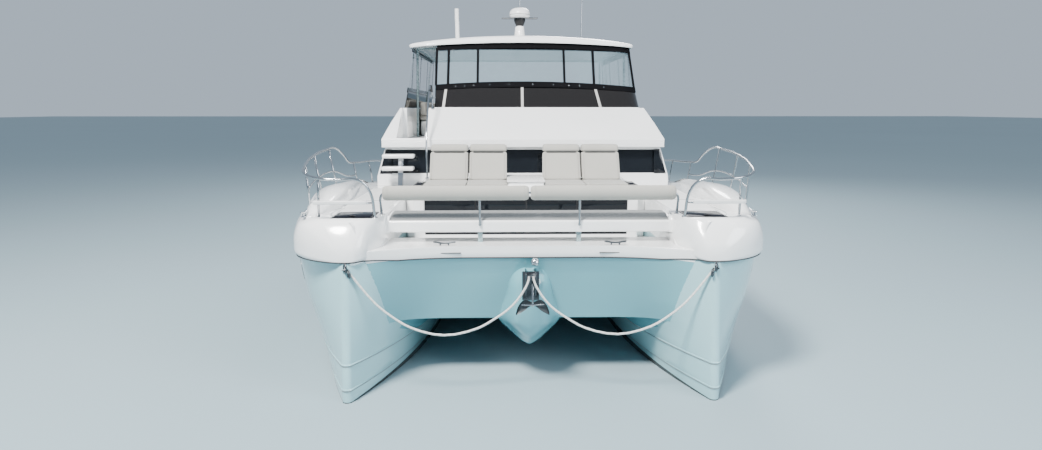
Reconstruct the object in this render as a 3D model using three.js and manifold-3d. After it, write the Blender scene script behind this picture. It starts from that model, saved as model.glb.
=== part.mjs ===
// Flybridge power catamaran, about 13 m long and 6.5 m wide, at its real size in millimetres.
// +Z is up, the bow points along -Y and the port side is +X. The origin is on the centreline, at the
// waterline, amidships. Every side-by-side pair is made by one function with side = -1 (starboard) or +1
// (port).
import * as THREE from "three";
import { mergeVertices } from "three/addons/utils/BufferGeometryUtils.js";
import Module from "manifold-3d";

const wasm = await Module();
wasm.setup();

// Driving dimensions
const HULL_X = 2300; // a hull's own centreline
const STEM_Y = -6550; // stem at the waterline
const TRANSOM_Y = 6300; // after face of the hulls
const JOINT_BOW_Z = 1750; // hull-to-deck joint at the bow
const JOINT_STERN_Z = 1300; // and at the transom
const DECK_BOW_Z = 2250; // foredeck level
const DECK_STERN_Z = 1620;
const SHEER_BREAK_Y = -1900; // the sheer is level before this and falls behind it
const TUNNEL_Z = 820; // bridgedeck clearance over the water
const SOLE_Z = 950; // saloon and cockpit sole
const SHELF_Z = 1500; // hull tops under the foredeck and inside the saloon
const WELL_X = 1900; // half width of the foredeck well
const LEDGE_Y = -5890; // front edge of the cross ledge between the bows
const WELL_FRONT_Y = -5290; // where the ledge steps down into the well
const LEDGE_Z = 1860;
const WELL_FLOOR_Z = 1590;
const TRUNK_FRONT_Y = -4070;
const TRUNK_X = 1750;
const TRUNK_Z = 2420;
const HOUSE_FRONT_Y = -2250;
const HOUSE_AFT_Y = 2900;
const HOUSE_BASE_X = 2650;
const HOUSE_TOP_X = 2480;
const COCKPIT_X = 2860;
const COCKPIT_AFT_Y = 5240;
const FLY_Z = 2940; // underside of the flybridge deck
const FLY_SOLE_Z = 3050;
const BROW_FRONT_Y = -2330;
const BROW_TOP_Y = -1470;
const BROW_TOP_Z = 3630;
const BROW_BASE_X = 2520;
const COAMING_X = 2300;
const FLY_AFT_Y = 4700;
const HARDTOP_X = 2210;
const HARDTOP_FRONT_Y = -820;
const HARDTOP_AFT_Y = 4250;
const HARDTOP_Z = 4840; // underside of the hardtop's edge
const WALL = 45; // moulded panels
const GAP = 0.4; // paint line between pieces that touch

const PAINT = { gelcoat: 0xf4f4f2, steel: 0xc4c8cc, glass: 0x1c242c, canvas: 0x1a1b1d,
  clear: 0xbfd0da, cushion: 0xcfccc4, rope: 0xe8e8e4, iron: 0x9aa2a8, engine: 0x4a6a4a, bronze: 0xa08850,
  plastic: 0xececea, dark: 0x24262a };
const finish = (name, roughness = 0.4, metalness = 0) =>
  new THREE.MeshStandardMaterial({ color: PAINT[name], roughness, metalness });

const boat = new THREE.Group();

// Turns a closed three.js geometry into a solid that can be joined and cut.
function solid(geometry) {
  const bare = geometry.index ? geometry.toNonIndexed() : geometry.clone();
  bare.deleteAttribute("normal");
  bare.deleteAttribute("uv");
  const merged = mergeVertices(bare, 1e-3);
  const made = new wasm.Manifold(new wasm.Mesh({ numProp: 3,
    vertProperties: merged.attributes.position.array, triVerts: new Uint32Array(merged.index.array) }));
  return made;
}

// Adds a finished solid to the boat as a named mesh.
function place(name, made, material) {
  const mesh = made.getMesh();
  const geometry = new THREE.BufferGeometry();
  geometry.setAttribute("position", new THREE.BufferAttribute(mesh.vertProperties, 3));
  geometry.setIndex(new THREE.BufferAttribute(mesh.triVerts, 1));
  geometry.computeVertexNormals();
  const piece = new THREE.Mesh(geometry, material);
  piece.name = name;
  boat.add(piece);
}

const join = (...parts) => parts.flat().reduce((all, part) => all.add(part));
const lerp = (a, b, t) => a + (b - a) * t;
const clamp01 = (t) => Math.min(1, Math.max(0, t));
const nameOf = (side) => (side < 0 ? "starboard" : "port");

function box(x0, x1, y0, y1, z0, z1) {
  const geometry = new THREE.BoxGeometry(Math.abs(x1 - x0), Math.abs(y1 - y0), Math.abs(z1 - z0));
  return solid(geometry.translate((x0 + x1) / 2, (y0 + y1) / 2, (z0 + z1) / 2));
}

// A profile of [y, z] points, swept across the boat from x0 to x1.
function acrossPrism(points, x0, x1) {
  const shape = new THREE.Shape(points.map(([y, z]) => new THREE.Vector2(y, z)));
  const geometry = new THREE.ExtrudeGeometry(shape, { depth: x1 - x0, bevelEnabled: false });
  geometry.applyMatrix4(new THREE.Matrix4().set(0, 0, 1, x0, 1, 0, 0, 0, 0, 1, 0, 0, 0, 0, 0, 1));
  return solid(geometry);
}

// A plan of [x, y] points, raised from z0 to z1.
function planPrism(points, z0, z1) {
  const shape = new THREE.Shape(points.map(([x, y]) => new THREE.Vector2(x, y)));
  return solid(new THREE.ExtrudeGeometry(shape, { depth: z1 - z0, bevelEnabled: false }).translate(0, 0,
    z0));
}

// The triangles that fill a flat ring of points, in the ring's own turning sense.
function fill(ring) {
  const normal = ring.reduce((sum, p, i) => {
    const q = ring[(i + 1) % ring.length];
    return [sum[0] + (p[1] - q[1]) * (p[2] + q[2]), sum[1] + (p[2] - q[2]) * (p[0] + q[0]),
      sum[2] + (p[0] - q[0]) * (p[1] + q[1])];
  }, [0, 0, 0]).map(Math.abs);
  const drop = normal.indexOf(Math.max(...normal));
  const flat = ring.map((p) => new THREE.Vector2(...p.filter((_, axis) => axis !== drop)));
  const turned = THREE.ShapeUtils.isClockWise(flat);
  const faces = THREE.ShapeUtils.triangulateShape(flat.slice(), []);
  return faces.map(([a, b, c]) => (THREE.ShapeUtils.isClockWise([flat[a], flat[b],
    flat[c]]) === turned ? [a, b, c] : [c, b, a]));
}

// A skin through sections of equal point counts, closed at each end.
function loft(sections) {
  const count = sections[0].length;
  const last = sections.length - 1;
  const points = sections.flat();
  const faces = [];
  for (let s = 0; s < last; s++)
    for (let p = 0; p < count; p++) {
      const a = s * count + p;
      const b = s * count + ((p + 1) % count);
      faces.push([a, b, b + count], [a, b + count, a + count]);
    }
  for (const [a, b, c] of fill(sections[0])) faces.push([c, b, a]);
  for (const corners of fill(sections[last])) faces.push(corners.map((i) => i + last * count));
  const build = (flip) => {
    const corners = faces.flatMap(([a, b, c]) => (flip ? [c, b, a] : [a, b, c])).flatMap((i) => points[i]);
    const geometry = new THREE.BufferGeometry();
    geometry.setAttribute("position", new THREE.BufferAttribute(new Float32Array(corners), 3));
    return solid(geometry);
  };
  const made = build(false);
  return made.volume() > 0 ? made : build(true);
}

// A straight round bar between two points.
function bar(from, to, radius, sides = 8) {
  const a = new THREE.Vector3(...from);
  const b = new THREE.Vector3(...to);
  const along = b.clone().sub(a);
  const geometry = new THREE.CylinderGeometry(radius, radius, along.length(), sides);
  const turn = new THREE.Quaternion().setFromUnitVectors(new THREE.Vector3(0, 1, 0),
    along.clone().normalize());
  geometry.applyQuaternion(turn);
  return solid(geometry.translate(...a.add(b).multiplyScalar(0.5).toArray()));
}

// A bent tube along a smooth curve through the points.
function bentTube(points, radius, steps, sides = 8) {
  const curve = new THREE.CatmullRomCurve3(points.map((p) => new THREE.Vector3(...p)), false,
    "centripetal");
  const ring = new THREE.Shape(Array.from({ length: sides }, (_, i) => {
    const turn = (i / sides) * 2 * Math.PI;
    return new THREE.Vector2(radius * Math.cos(turn), radius * Math.sin(turn));
  }));
  return solid(new THREE.ExtrudeGeometry(ring, { steps, extrudePath: curve, bevelEnabled: false }));
}

const mirrorX = (made) => made.scale([-1, 1, 1]);
const sided = (made, side) => (side < 0 ? mirrorX(made) : made);

// Sheer: the hull-to-deck joint and the deck's upper level at a place along the boat.
const fall = (y) => clamp01((y - SHEER_BREAK_Y) / (TRANSOM_Y - SHEER_BREAK_Y));
const jointZ = (y) => lerp(JOINT_BOW_Z, JOINT_STERN_Z, fall(y));
const deckZ = (y) => lerp(DECK_BOW_Z, DECK_STERN_Z, fall(y));

// Hull sections. Each level runs from its own stem point to the transom.
// Columns: height, how far the stem lies aft, half breadth, length of the entry, its fullness, rise at the
// transom.
const HULL_LEVELS = [
  [-850, 420, 40, 3000, 2.0, 600],
  [-520, 160, 640, 5000, 2.1, 330],
  [-120, 20, 850, 4500, 2.3, 60],
  [170, 15, 895, 4200, 2.3, 0],
  [185, 15, 930, 4200, 2.3, 0],
  [480, 45, 938, 3700, 2.4, 0],
  [500, 45, 962, 3700, 2.4, 0],
  [1100, 110, 968, 2700, 2.9, 0],
  ["joint", 190, 972, 2400, 4.0, 0],
];
const HULL_STATIONS = [0, 0.002, 0.008, 0.02, 0.038, 0.06, 0.09, 0.13, 0.18, 0.24, 0.34, 0.5, 0.6, 0.7, 0.8,
  0.9, 1];
const STEM_RADIUS = 60;
// Half breadth of a hull at a height, from its own centreline.
function hullHalf(y, z) {
  const rows = HULL_LEVELS.map(([level, ...rest]) => [level === "joint" ? JOINT_BOW_Z : level, ...rest]);
  const next = rows.findIndex(([level]) => level >= z);
  const share = (z - rows[next - 1][0]) / (rows[next][0] - rows[next - 1][0]);
  const [, setBack, breadth, entry,
    fullness] = rows[next].map((value, n) => lerp(rows[next - 1][n], value, share));
  const run = clamp01((y - STEM_Y - setBack) / entry);
  return STEM_RADIUS + (breadth - STEM_RADIUS) * (1 - Math.pow(1 - run, fullness));
}

// One hull, port side, cut down under the deck mouldings and stepped at the stern.
// The extra makes it a little larger, to cut a neighbour clear of it.
function hullShape(extra = 0) {
  const sections = HULL_STATIONS.map((u) => {
    const right = [];
    const left = [];
    for (const [level, setBack, breadth, entry, fullness, lift] of HULL_LEVELS) {
      const y = lerp(STEM_Y + setBack, TRANSOM_Y, u);
      const run = clamp01((y - STEM_Y - setBack) / entry);
      const z = level === "joint" ? jointZ(y) : level + lift * Math.pow(clamp01((u - 0.5) / 0.5), 1.6);
      const bow = STEM_RADIUS * Math.min(1, breadth / 100);
      const nose = u === 0 ? 0.45 : 1;
      const wide = (bow + (breadth - bow) * (1 - Math.pow(1 - run, fullness))) * nose + extra;
      right.push([HULL_X + wide, y - (u === 0 ? extra : 0), z]);
      left.unshift([HULL_X - wide, y - (u === 0 ? extra : 0), z]);
    }
    return [...right, ...left];
  });
  const grown = (z) => z - GAP + extra;
  return loft(sections)
    .subtract(box(0, WELL_X, LEDGE_Y - 22, HOUSE_AFT_Y, grown(SHELF_Z), 4000))
    .subtract(box(0, COCKPIT_X, HOUSE_AFT_Y - 5, 7000, grown(SOLE_Z - 40), 4000))
    .subtract(box(0, COCKPIT_X, 5600, 7000, grown(700), 4000))
    .subtract(box(0, COCKPIT_X, 5950, 7000, grown(420), 4000))
    .subtract(acrossPrism([[COCKPIT_AFT_Y, 1340], [5500, 1240], [6050, 620], [6400, 480], [6400, 2000],
      [COCKPIT_AFT_Y, 2000]], COCKPIT_X - 1, 4000));
}

// Bulbous forefoot, a stretched ball on the keel line.
function forefoot() {
  const ball = new THREE.SphereGeometry(1, 12, 8).rotateX(Math.PI / 2);
  return solid(ball.scale(210, 900, 270).translate(HULL_X, STEM_Y + 420, -470));
}

// Fin along the keel that the boat can take the ground on. The propeller shaft leaves through its after
// end.
const SHAFT = { z: -730, y0: 2950, y1: 4740, radius: 22 };
function keelFin() {
  const profile = [[-1500, -700], [-1100, -970], [2900, -970], [3250, -640], [-1500, -640]];
  return acrossPrism(profile, HULL_X - 45,
    HULL_X + 45).add(bar([HULL_X, 2700, SHAFT.z], [HULL_X, 3330, SHAFT.z], 70, 12));
}

const ENGINE = { y0: 2600, y1: 3900, half: 420, z0: -260, z1: 620 };
const RUDDER = { y: 5150, z0: -900, z1: -460 };
const PROP_Y = 4640;
const STOCK_R = 25;
const EYE_Z = 1715;

function makeHull(side) {
  const bay = box(HULL_X - ENGINE.half - 60, HULL_X + ENGINE.half + 60, ENGINE.y0 - 100, ENGINE.y1 + 100,
    ENGINE.z0 - GAP, 930);
  // A strut with a barrel carries the shaft, and a bore in the hull carries the rudder stock.
  const strut = box(HULL_X - 14, HULL_X + 14, 4380, 4480, SHAFT.z, -430);
  const barrel = bar([HULL_X, 4330, SHAFT.z], [HULL_X, 4520, SHAFT.z], 48, 12);
  const bore = bar([HULL_X, SHAFT.y0 - 6, SHAFT.z], [HULL_X, 4600, SHAFT.z], SHAFT.radius + 0.75, 16);
  const stockHole = bar([HULL_X, RUDDER.y, -900], [HULL_X, RUDDER.y, -150], STOCK_R + 0.8, 16);
  // An eye at the stemhead takes the bridle.
  const eye = bar([HULL_X - 10, -6300, EYE_Z], [HULL_X - 10, -6425, EYE_Z], 12);
  const hull = join(hullShape(), forefoot(), keelFin(), strut, barrel,
    eye).subtract(join(bay, bore, stockHole));
  place("hull_" + nameOf(side), sided(hull, side), finish("gelcoat", 0.25));
  const engine = box(HULL_X - ENGINE.half, HULL_X + ENGINE.half, ENGINE.y0, ENGINE.y1, ENGINE.z0,
    ENGINE.z1);
  place("engine_" + nameOf(side), sided(engine, side), finish("engine", 0.6));
}

// Shaft and four-bladed propeller, which turn as one piece.
function makePropeller(side) {
  const shaft = bar([HULL_X, SHAFT.y0, SHAFT.z], [HULL_X, SHAFT.y1, SHAFT.z], SHAFT.radius, 16);
  const hub = bar([HULL_X, PROP_Y - 80, SHAFT.z], [HULL_X, PROP_Y + 80, SHAFT.z], 52, 12);
  const blades = [0, 1, 2, 3].map((n) => {
    const blade = new THREE.BoxGeometry(150, 14, 170).rotateZ(0.55).translate(0, 0, 125);
    return solid(blade.rotateY((n * Math.PI) / 2).translate(HULL_X, PROP_Y, SHAFT.z));
  });
  place("propeller_" + nameOf(side), sided(join(shaft, hub, blades), side), finish("bronze", 0.35, 1));
}

function makeRudder(side) {
  const plan = [[0, -120], [24, -60], [30, 20], [8, 260], [-8, 260], [-30, 20], [-24, -60]];
  const blade = planPrism(plan.map(([x, y]) => [HULL_X + x, RUDDER.y + y]), RUDDER.z0, RUDDER.z1);
  const stock = bar([HULL_X, RUDDER.y, RUDDER.z0 + 100], [HULL_X, RUDDER.y, -200], STOCK_R, 16);
  place("rudder_" + nameOf(side), sided(blade.add(stock), side), finish("bronze", 0.5, 1));
}

// Bridgedeck: tunnel roof, raked front face and the V-shaped nacelle that breaks the waves.
// Columns: place along the boat, half width at the roof, height of the keel line, height of the shoulder,
// half width there.
const NACELLE = [
  [-6050, 60, 1080, 1330, 50],
  [-5980, 190, 760, 1480, 200],
  [-5800, 330, 560, 1560, 300],
  [-5470, 480, 400, 1560, 340],
  [-4700, 600, 430, 1500, 400],
  [-3400, 520, 620, 1300, 400],
  [-2400, 200, 790, 1100, 150],
];
function nacelle() {
  return loft(NACELLE.map(([y, wide, keel, top, narrow]) => {
    const roof = Math.max(TUNNEL_Z + 20, keel + 60);
    const half = [[25, keel], [lerp(25, wide, 0.55), lerp(keel, roof, 0.45)], [wide, roof],
      [narrow, lerp(roof, top, 0.5)],
      [narrow * 0.8, lerp(roof, top, 0.85)], [narrow * 0.35, top]];
    return [...half.map(([x, z]) => [x, y, z]), ...half.reverse().map(([x, z]) => [-x, y, z])];
  }));
}
// Concave sweep from each hull's inner side into the flat front between the hulls.
// Columns: height, where it leaves the hull, where it meets the front.
const SWEEP = [
  [TUNNEL_Z, -5900, 1250],
  [1000, -6000, 1120],
  [1200, -6080, 1000],
  [1450, -6170, 860],
  [1706, -6240, 750],
  [LEDGE_Z - 25, -6255, 725],
  [LEDGE_Z, -6235, 720],
];
// Where the flat front stands at a height.
function frontY(z) {
  if (z < SHELF_Z) return lerp(-5670, LEDGE_Y + 60, (z - TUNNEL_Z) / (SHELF_Z - TUNNEL_Z));
  return lerp(LEDGE_Y + 60, LEDGE_Y - 20, clamp01((z - SHELF_Z) / (JOINT_BOW_Z - SHELF_Z)));
}
function sweepLine(z, leaveY, meetX) {
  const level = Math.min(z, JOINT_BOW_Z - 10);
  const start = HULL_X - hullHalf(leaveY, level);
  const slope = (hullHalf(leaveY + 10, level) - hullHalf(leaveY, level)) / 10;
  const face = frontY(z) + (z >= LEDGE_Z ? 25 : 0);
  const corner = Math.min(start - 20, Math.max(meetX + 20, start - slope * (face - leaveY)));
  const curve = new THREE.QuadraticBezierCurve(new THREE.Vector2(start, leaveY),
    new THREE.Vector2(corner, face),
    new THREE.Vector2(meetX, face));
  return curve.getPoints(8).map(({ x, y }) => [x, y, z]);
}
function sweep() {
  return loft(SWEEP.map(([z, leaveY, meetX]) => {
    const port = [[HULL_X, leaveY, z], ...sweepLine(z, leaveY, meetX)];
    const starboard = port.map(([x, y]) => [-x, y, z]).reverse();
    return [...port, ...starboard, [-HULL_X, -5350, z], [HULL_X, -5350, z]];
  }));
}
// Rounded corner between the tunnel's roof and the hull's inner side, port side.
// Columns: place along the boat, radius.
const FILLET = [[-5740, 90], [-5500, 200], [-5000, 300], [-3500, 300], [5250, 300]];
function tunnelFillet() {
  return loft(FILLET.map(([y, radius]) => {
    const x = HULL_X - hullHalf(y, 700) + 6;
    const arc = [0, 1, 2, 3, 4, 5].map((n) => {
      const turn = (n / 5) * (Math.PI / 2);
      return [x - radius + radius * Math.sin(turn), y, TUNNEL_Z - radius + radius * Math.cos(turn)];
    });
    return [[x - radius, y, TUNNEL_Z + 50], ...arc, [x + 90, y, TUNNEL_Z - radius],
      [x + 90, y, TUNNEL_Z + 50]];
  }));
}
function makeBridgedeck() {
  const front = acrossPrism([[LEDGE_Y + 60, SHELF_Z - GAP], [-5670, TUNNEL_Z], [TRUNK_FRONT_Y, TUNNEL_Z],
    [TRUNK_FRONT_Y, SHELF_Z - GAP]], -HULL_X, HULL_X);
  const roof = box(-HULL_X, HULL_X, TRUNK_FRONT_Y, 5300, TUNNEL_Z, SOLE_Z - 40);
  const cutter = hullShape(GAP);
  const platform = box(-1310, 1310, 5300, TRANSOM_Y, 340, 420);
  const arms = [-700, 700].map((x) => box(x - 60, x + 60, 5190, 5420, 360, TUNNEL_Z + 20));
  const fillet = tunnelFillet();
  const body = join(front, roof, nacelle(), platform, arms, sweep(), fillet, mirrorX(fillet));
  const made = body.subtract(cutter).subtract(mirrorX(cutter));
  place("bridgedeck", made.trimByPlane([0, 0, -1], -SHELF_Z + GAP), finish("gelcoat", 0.3));
}

// Deck moulding of one side: the rounded bow cap and the side deck along the house, port side.
// Columns: place, outer half breadth from the hull's centreline, inner edge, share of the shoulder's
// height, roundness of the inner edge.
const DECK_STATIONS = [
  [-6375, 60, 2250, 0.16, 1],
  [-6350, 200, 2190, 0.4, 1],
  [-6260, 400, 2110, 0.72, 1],
  [-6150, 550, 2030, 0.92, 1],
  [-6000, 680, 1930, 1, 0.4],
  [-5930, 730, WELL_X, 1, 0],
  [-5600, 835, WELL_X, 1, 0],
  [-5100, 940, WELL_X, 1, 0],
  [-4400, 985, WELL_X, 1, 0],
  [HOUSE_FRONT_Y, 985, WELL_X, 1, 0],
  [SHEER_BREAK_Y, 985, WELL_X, 1, 0],
  [0, 980, WELL_X, 1, 0],
  [HOUSE_AFT_Y, 975, WELL_X, 1, 0],
  [COCKPIT_AFT_Y, 970, WELL_X, 1, 0],
];
const DECK_SHOULDER = [[-25, 0], [12, 0.12], [14, 0.4], [-8, 0.7], [-60, 0.88], [-200, 1]];
function deckBody(extra = 0) {
  const sections = DECK_STATIONS.map(([y, outer, inner, share, round]) => {
    const low = jointZ(y) + GAP - extra;
    const high = lerp(low, deckZ(y), share) + extra;
    const edge = HULL_X + outer + extra;
    const spread = Math.min(1, (edge - inner) / 800);
    const out = DECK_SHOULDER.map(([dx, up]) => [edge + dx * spread, y, lerp(low, high, up)]);
    const near = inner - extra;
    const back = DECK_SHOULDER.map(([dx, up]) =>
      [near - dx * spread * round, y, lerp(low, high, up)]).reverse();
    return [...out, ...back];
  });
  return loft(sections);
}
// A mooring cleat, its horns along x or along y, rooted just below the surface at z.
function cleat(x, y, z, along) {
  const [dx, dy] = along === "x" ? [110, 0] : [0, 140];
  const horn = bar([x - dx, y - dy, z + 50], [x + dx, y + dy, z + 50], 13);
  const legs = [-0.4, 0.4].map((s) =>
    bar([x + s * dx, y + s * dy, z - 20], [x + s * dx, y + s * dy, z + 50], 12));
  return join(horn, legs);
}
const HATCH = { x: 2280, y0: -6020, y1: -5490, half: 260, depth: 360 };
function makeDeck(side) {
  const pocket = box(HATCH.x - HATCH.half - 8, HATCH.x + HATCH.half + 8, HATCH.y0 - 8, HATCH.y1 + 8,
    DECK_BOW_Z - 40, 2400);
  const locker = box(HATCH.x - 230, HATCH.x + 230, HATCH.y0 + 40, HATCH.y1 - 40, DECK_BOW_Z - HATCH.depth,
    2400);
  const houseCut = box(0, HOUSE_BASE_X + 5, HOUSE_FRONT_Y - 5, HOUSE_AFT_Y + 5, 0, 4000);
  const cockpitCut = box(0, COCKPIT_X, HOUSE_AFT_Y, 6000, 0, 4000);
  const made = deckBody().subtract(join(pocket, locker)).subtract(houseCut).subtract(cockpitCut);
  const cleats = [1400, 4950].map((y) => cleat(2990, y, deckTop(2990, y), "y"));
  place("deck_" + nameOf(side), sided(join(made, cleats), side), finish("gelcoat", 0.3));
}
function makeBowHatch(side) {
  const frame = box(HATCH.x - HATCH.half, HATCH.x + HATCH.half, HATCH.y0, HATCH.y1, DECK_BOW_Z - 39.6,
    DECK_BOW_Z + 6);
  const handle = box(HATCH.x - 45, HATCH.x + 45, HATCH.y0 + 60, HATCH.y0 + 100, DECK_BOW_Z,
    DECK_BOW_Z + 22);
  place("bow_hatch_" + nameOf(side), sided(frame.add(handle), side), finish("glass", 0.1));
}

// Foredeck between the bows: cross ledge and the well's floor.
const CLEAT_X = 1070;
function makeForedeck() {
  const profile = [[LEDGE_Y - 20, JOINT_BOW_Z], [LEDGE_Y - 20, LEDGE_Z - 25], [LEDGE_Y + 5, LEDGE_Z],
    [WELL_FRONT_Y, LEDGE_Z], [WELL_FRONT_Y, WELL_FLOOR_Z], [HOUSE_FRONT_Y - 6, WELL_FLOOR_Z],
    [HOUSE_FRONT_Y - 6, SHELF_Z], [LEDGE_Y + 60, SHELF_Z]];
  const cleats = [-CLEAT_X, CLEAT_X].map((x) => cleat(x, LEDGE_Y + 100, LEDGE_Z, "x"));
  const neighbours = join(hullShape(GAP), deckBody(GAP));
  const lip = sweep().trimByPlane([0, 0, 1], SHELF_Z);
  const made = join(acrossPrism(profile, -WELL_X + GAP, WELL_X - GAP), lip);
  place("foredeck", join(made.subtract(neighbours).subtract(mirrorX(neighbours)), cleats),
    finish("gelcoat", 0.35));
}

const BENCH = { y0: -5670, y1: -5130, z0: 2000, z1: 2220 };
const POST_X = 660;
function makeBench() {
  const nose = 40;
  const profile = [[BENCH.y0 + nose, BENCH.z0], [BENCH.y0, BENCH.z0 + nose], [BENCH.y0, BENCH.z1 - nose],
    [BENCH.y0 + nose, BENCH.z1], [BENCH.y1, BENCH.z1], [BENCH.y1, BENCH.z0]];
  const beam = acrossPrism(profile, -WELL_X + GAP, WELL_X - GAP);
  const posts = [-POST_X, POST_X].map((x) =>
    box(x - 32, x + 32, BENCH.y0 + 45, BENCH.y0 + 95, LEDGE_Z + GAP, BENCH.z0 + 5));
  place("bench", join(beam, posts), finish("gelcoat", 0.35));
}

// Stainless rail in front of the bench. Its top tube runs inside the two bolsters.
const RAIL_Y = BENCH.y0 - 25;
const BOLSTER_Z = 2530;
const RAIL_R = 16;
function makeFrontRail() {
  const end = (side) => bentTube([[1945, DECK_BOW_Z - 20], [1960, 2380], [1962, 2460], [1935, 2515],
    [1895, BOLSTER_Z], [1875, BOLSTER_Z],
    [1855, BOLSTER_Z]].map(([x, z]) => [side * x, RAIL_Y, z]), RAIL_R, 16);
  const top = bar([-1870, RAIL_Y, BOLSTER_Z], [1870, RAIL_Y, BOLSTER_Z], RAIL_R);
  const uprights = [-POST_X, POST_X].map((x) => bar([x, RAIL_Y, 2150], [x, RAIL_Y, BOLSTER_Z], 13));
  const feet = [-POST_X, POST_X].map((x) => box(x - 20, x + 20, RAIL_Y - 12, BENCH.y0 - GAP, 2140, 2185));
  const deck = deckBody(GAP);
  place("front_rail", join(top, end(-1), end(1), uprights, feet).subtract(deck).subtract(mirrorX(deck)),
    finish("steel", 0.15, 1));
}
function makeBolster(side) {
  const outline = [];
  for (let i = 0; i < 12; i++) {
    const turn = (i / 12) * 2 * Math.PI;
    outline.push([RAIL_Y + 75 * Math.cos(turn), BOLSTER_Z + 100 * Math.sin(turn)]);
  }
  const roll = acrossPrism(outline, 15, 1850);
  const bore = bar([-10, RAIL_Y, BOLSTER_Z], [2100, RAIL_Y, BOLSTER_Z], RAIL_R + 0.5);
  const slot = box(POST_X - 16, POST_X + 16, RAIL_Y - 16, RAIL_Y + 16, 2400, BOLSTER_Z);
  place("bolster_" + nameOf(side), sided(roll.subtract(bore).subtract(slot), side), finish("cushion", 0.8));
}

// Raised trunk over the forward cabin, open below, with its long front window.
const TRUNK_WINDOW = { half: 1580, z0: 1680, z1: 2270 };
function makeTrunk() {
  const shell = box(-TRUNK_X, TRUNK_X, TRUNK_FRONT_Y, HOUSE_FRONT_Y - 6, WELL_FLOOR_Z + GAP, TRUNK_Z);
  const room = box(-TRUNK_X + 60, TRUNK_X - 60, TRUNK_FRONT_Y + 60, HOUSE_FRONT_Y - 66, 1500, TRUNK_Z - 45);
  const opening = box(-TRUNK_WINDOW.half, TRUNK_WINDOW.half, TRUNK_FRONT_Y - 50, TRUNK_FRONT_Y + 100,
    TRUNK_WINDOW.z0, TRUNK_WINDOW.z1);
  const flank = (side) => box(side * (TRUNK_X - 5), side * (WELL_X - GAP), TRUNK_FRONT_Y + 250,
    HOUSE_FRONT_Y - 6, WELL_FLOOR_Z + GAP, DECK_BOW_Z);
  const table = box(-285, 285, -3950, -2950, TRUNK_Z - 10, 2500);
  place("trunk", join(shell.subtract(room).subtract(opening), flank(-1), flank(1), table),
    finish("gelcoat", 0.3));
  const glass = box(-TRUNK_WINDOW.half + GAP, TRUNK_WINDOW.half - GAP, TRUNK_FRONT_Y + 10,
    TRUNK_FRONT_Y + 22, TRUNK_WINDOW.z0 + GAP, TRUNK_WINDOW.z1 - GAP);
  place("trunk_glass", glass, finish("glass", 0.05));
}

// Lounge on the trunk: two seat pads and four reclined backs, with a white table top between them.
const PAD = { y0: -4030, y1: -3020, z0: TRUNK_Z + GAP, z1: 2550 };
const BACKS = [[300, 945], [960, 1605]];
function makeLounge(side) {
  const pad = box(300, 1630, PAD.y0, PAD.y1, PAD.z0, PAD.z1);
  place("seat_pad_" + nameOf(side), sided(pad, side), finish("cushion", 0.85));
  BACKS.forEach(([x0, x1], n) => {
    const seat = PAD.z1 + GAP;
    const back = acrossPrism([[-3420, seat], [-3150, 2960], [-3090, 3030], [-2990, 3030], [-2950, 2960],
      [-3030, seat]], x0, x1);
    place("backrest_" + (n ? "outer_" : "inner_") + nameOf(side), sided(back, side),
      finish("cushion", 0.85));
  });
}
// Bow pulpit and side rail of one side. Points run from the inner foot round the bow and aft.
const RAIL_LINE = [
  [1985, -5950, 2215], [2060, -6020, 2640], [2180, -6060, 2745], [2400, -6110, 2760], [2690, -6080, 2770],
  [2940, -5860, 2790], [3080, -5300, 2840], [3150, -4500, 2910], [3140, -3700, 2985], [3110, -3350, 2990],
  [3085, -2900, 2860], [3080, -2500, 2700], [3080, -2000, 2650], [3080, -400, 2560], [3080, 1200, 2440],
  [3080, 2600, 2330],
];
const RAIL_POSTS = [[2690, -6080, 2770, 2720, -5890], [3060, -5450, 2830, 2960, -5400],
  [3150, -4500, 2910, 3010, -4450],
  [3140, -3600, 2990, 3010, -3600], [3080, -2100, 2655, 3010, -2100], [3080, -700, 2580, 3010, -700],
  [3080, 800, 2470, 3010, 800], [3080, 2560, 2333, 3010, 2560]];
const MID_RAIL = [[3010, -5425, 2540], [3080, -4475, 2590], [3075, -3600, 2610], [3050, -2700, 2470],
  [3045, -2100, 2430]];
function makeBowRail(side) {
  const top = bentTube(RAIL_LINE, RAIL_R, 56);
  const posts = RAIL_POSTS.map(([x, y, z, footX, footY]) =>
    bar([x, y, z], [footX, footY, deckTop(footX, footY) - 30], 13, 6));
  const middle = bentTube(MID_RAIL, 11, 10, 6);
  const low = bentTube([[2010, -5985, 2440], [2065, -6062, 2446], [2300, -6098, 2450], [2690, -6020, 2460]],
    11, 8, 6);
  place("bow_rail_" + nameOf(side), sided(join(top, posts, middle, low).subtract(deckBody(GAP)), side),
    finish("steel", 0.15, 1));
}
// Height of the deck's skin under a foot, found from the deck's own section.
function deckTop(x, y) {
  const low = jointZ(y);
  const high = deckZ(y);
  const station = DECK_STATIONS.findIndex(([at]) => at >= y);
  const [y0, o0] = DECK_STATIONS[station - 1];
  const [y1, o1] = DECK_STATIONS[station];
  const edge = HULL_X + lerp(o0, o1, (y - y0) / (y1 - y0));
  const inset = edge - x;
  for (let i = 0; i + 1 < DECK_SHOULDER.length; i++) {
    const [a, up] = DECK_SHOULDER[i];
    const [b, next] = DECK_SHOULDER[i + 1];
    if (up >= 0.3 && inset >= -a && inset <= -b) return lerp(low, high,
      lerp(up, next, (inset + a) / (a - b)));
  }
  return high;
}

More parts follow.
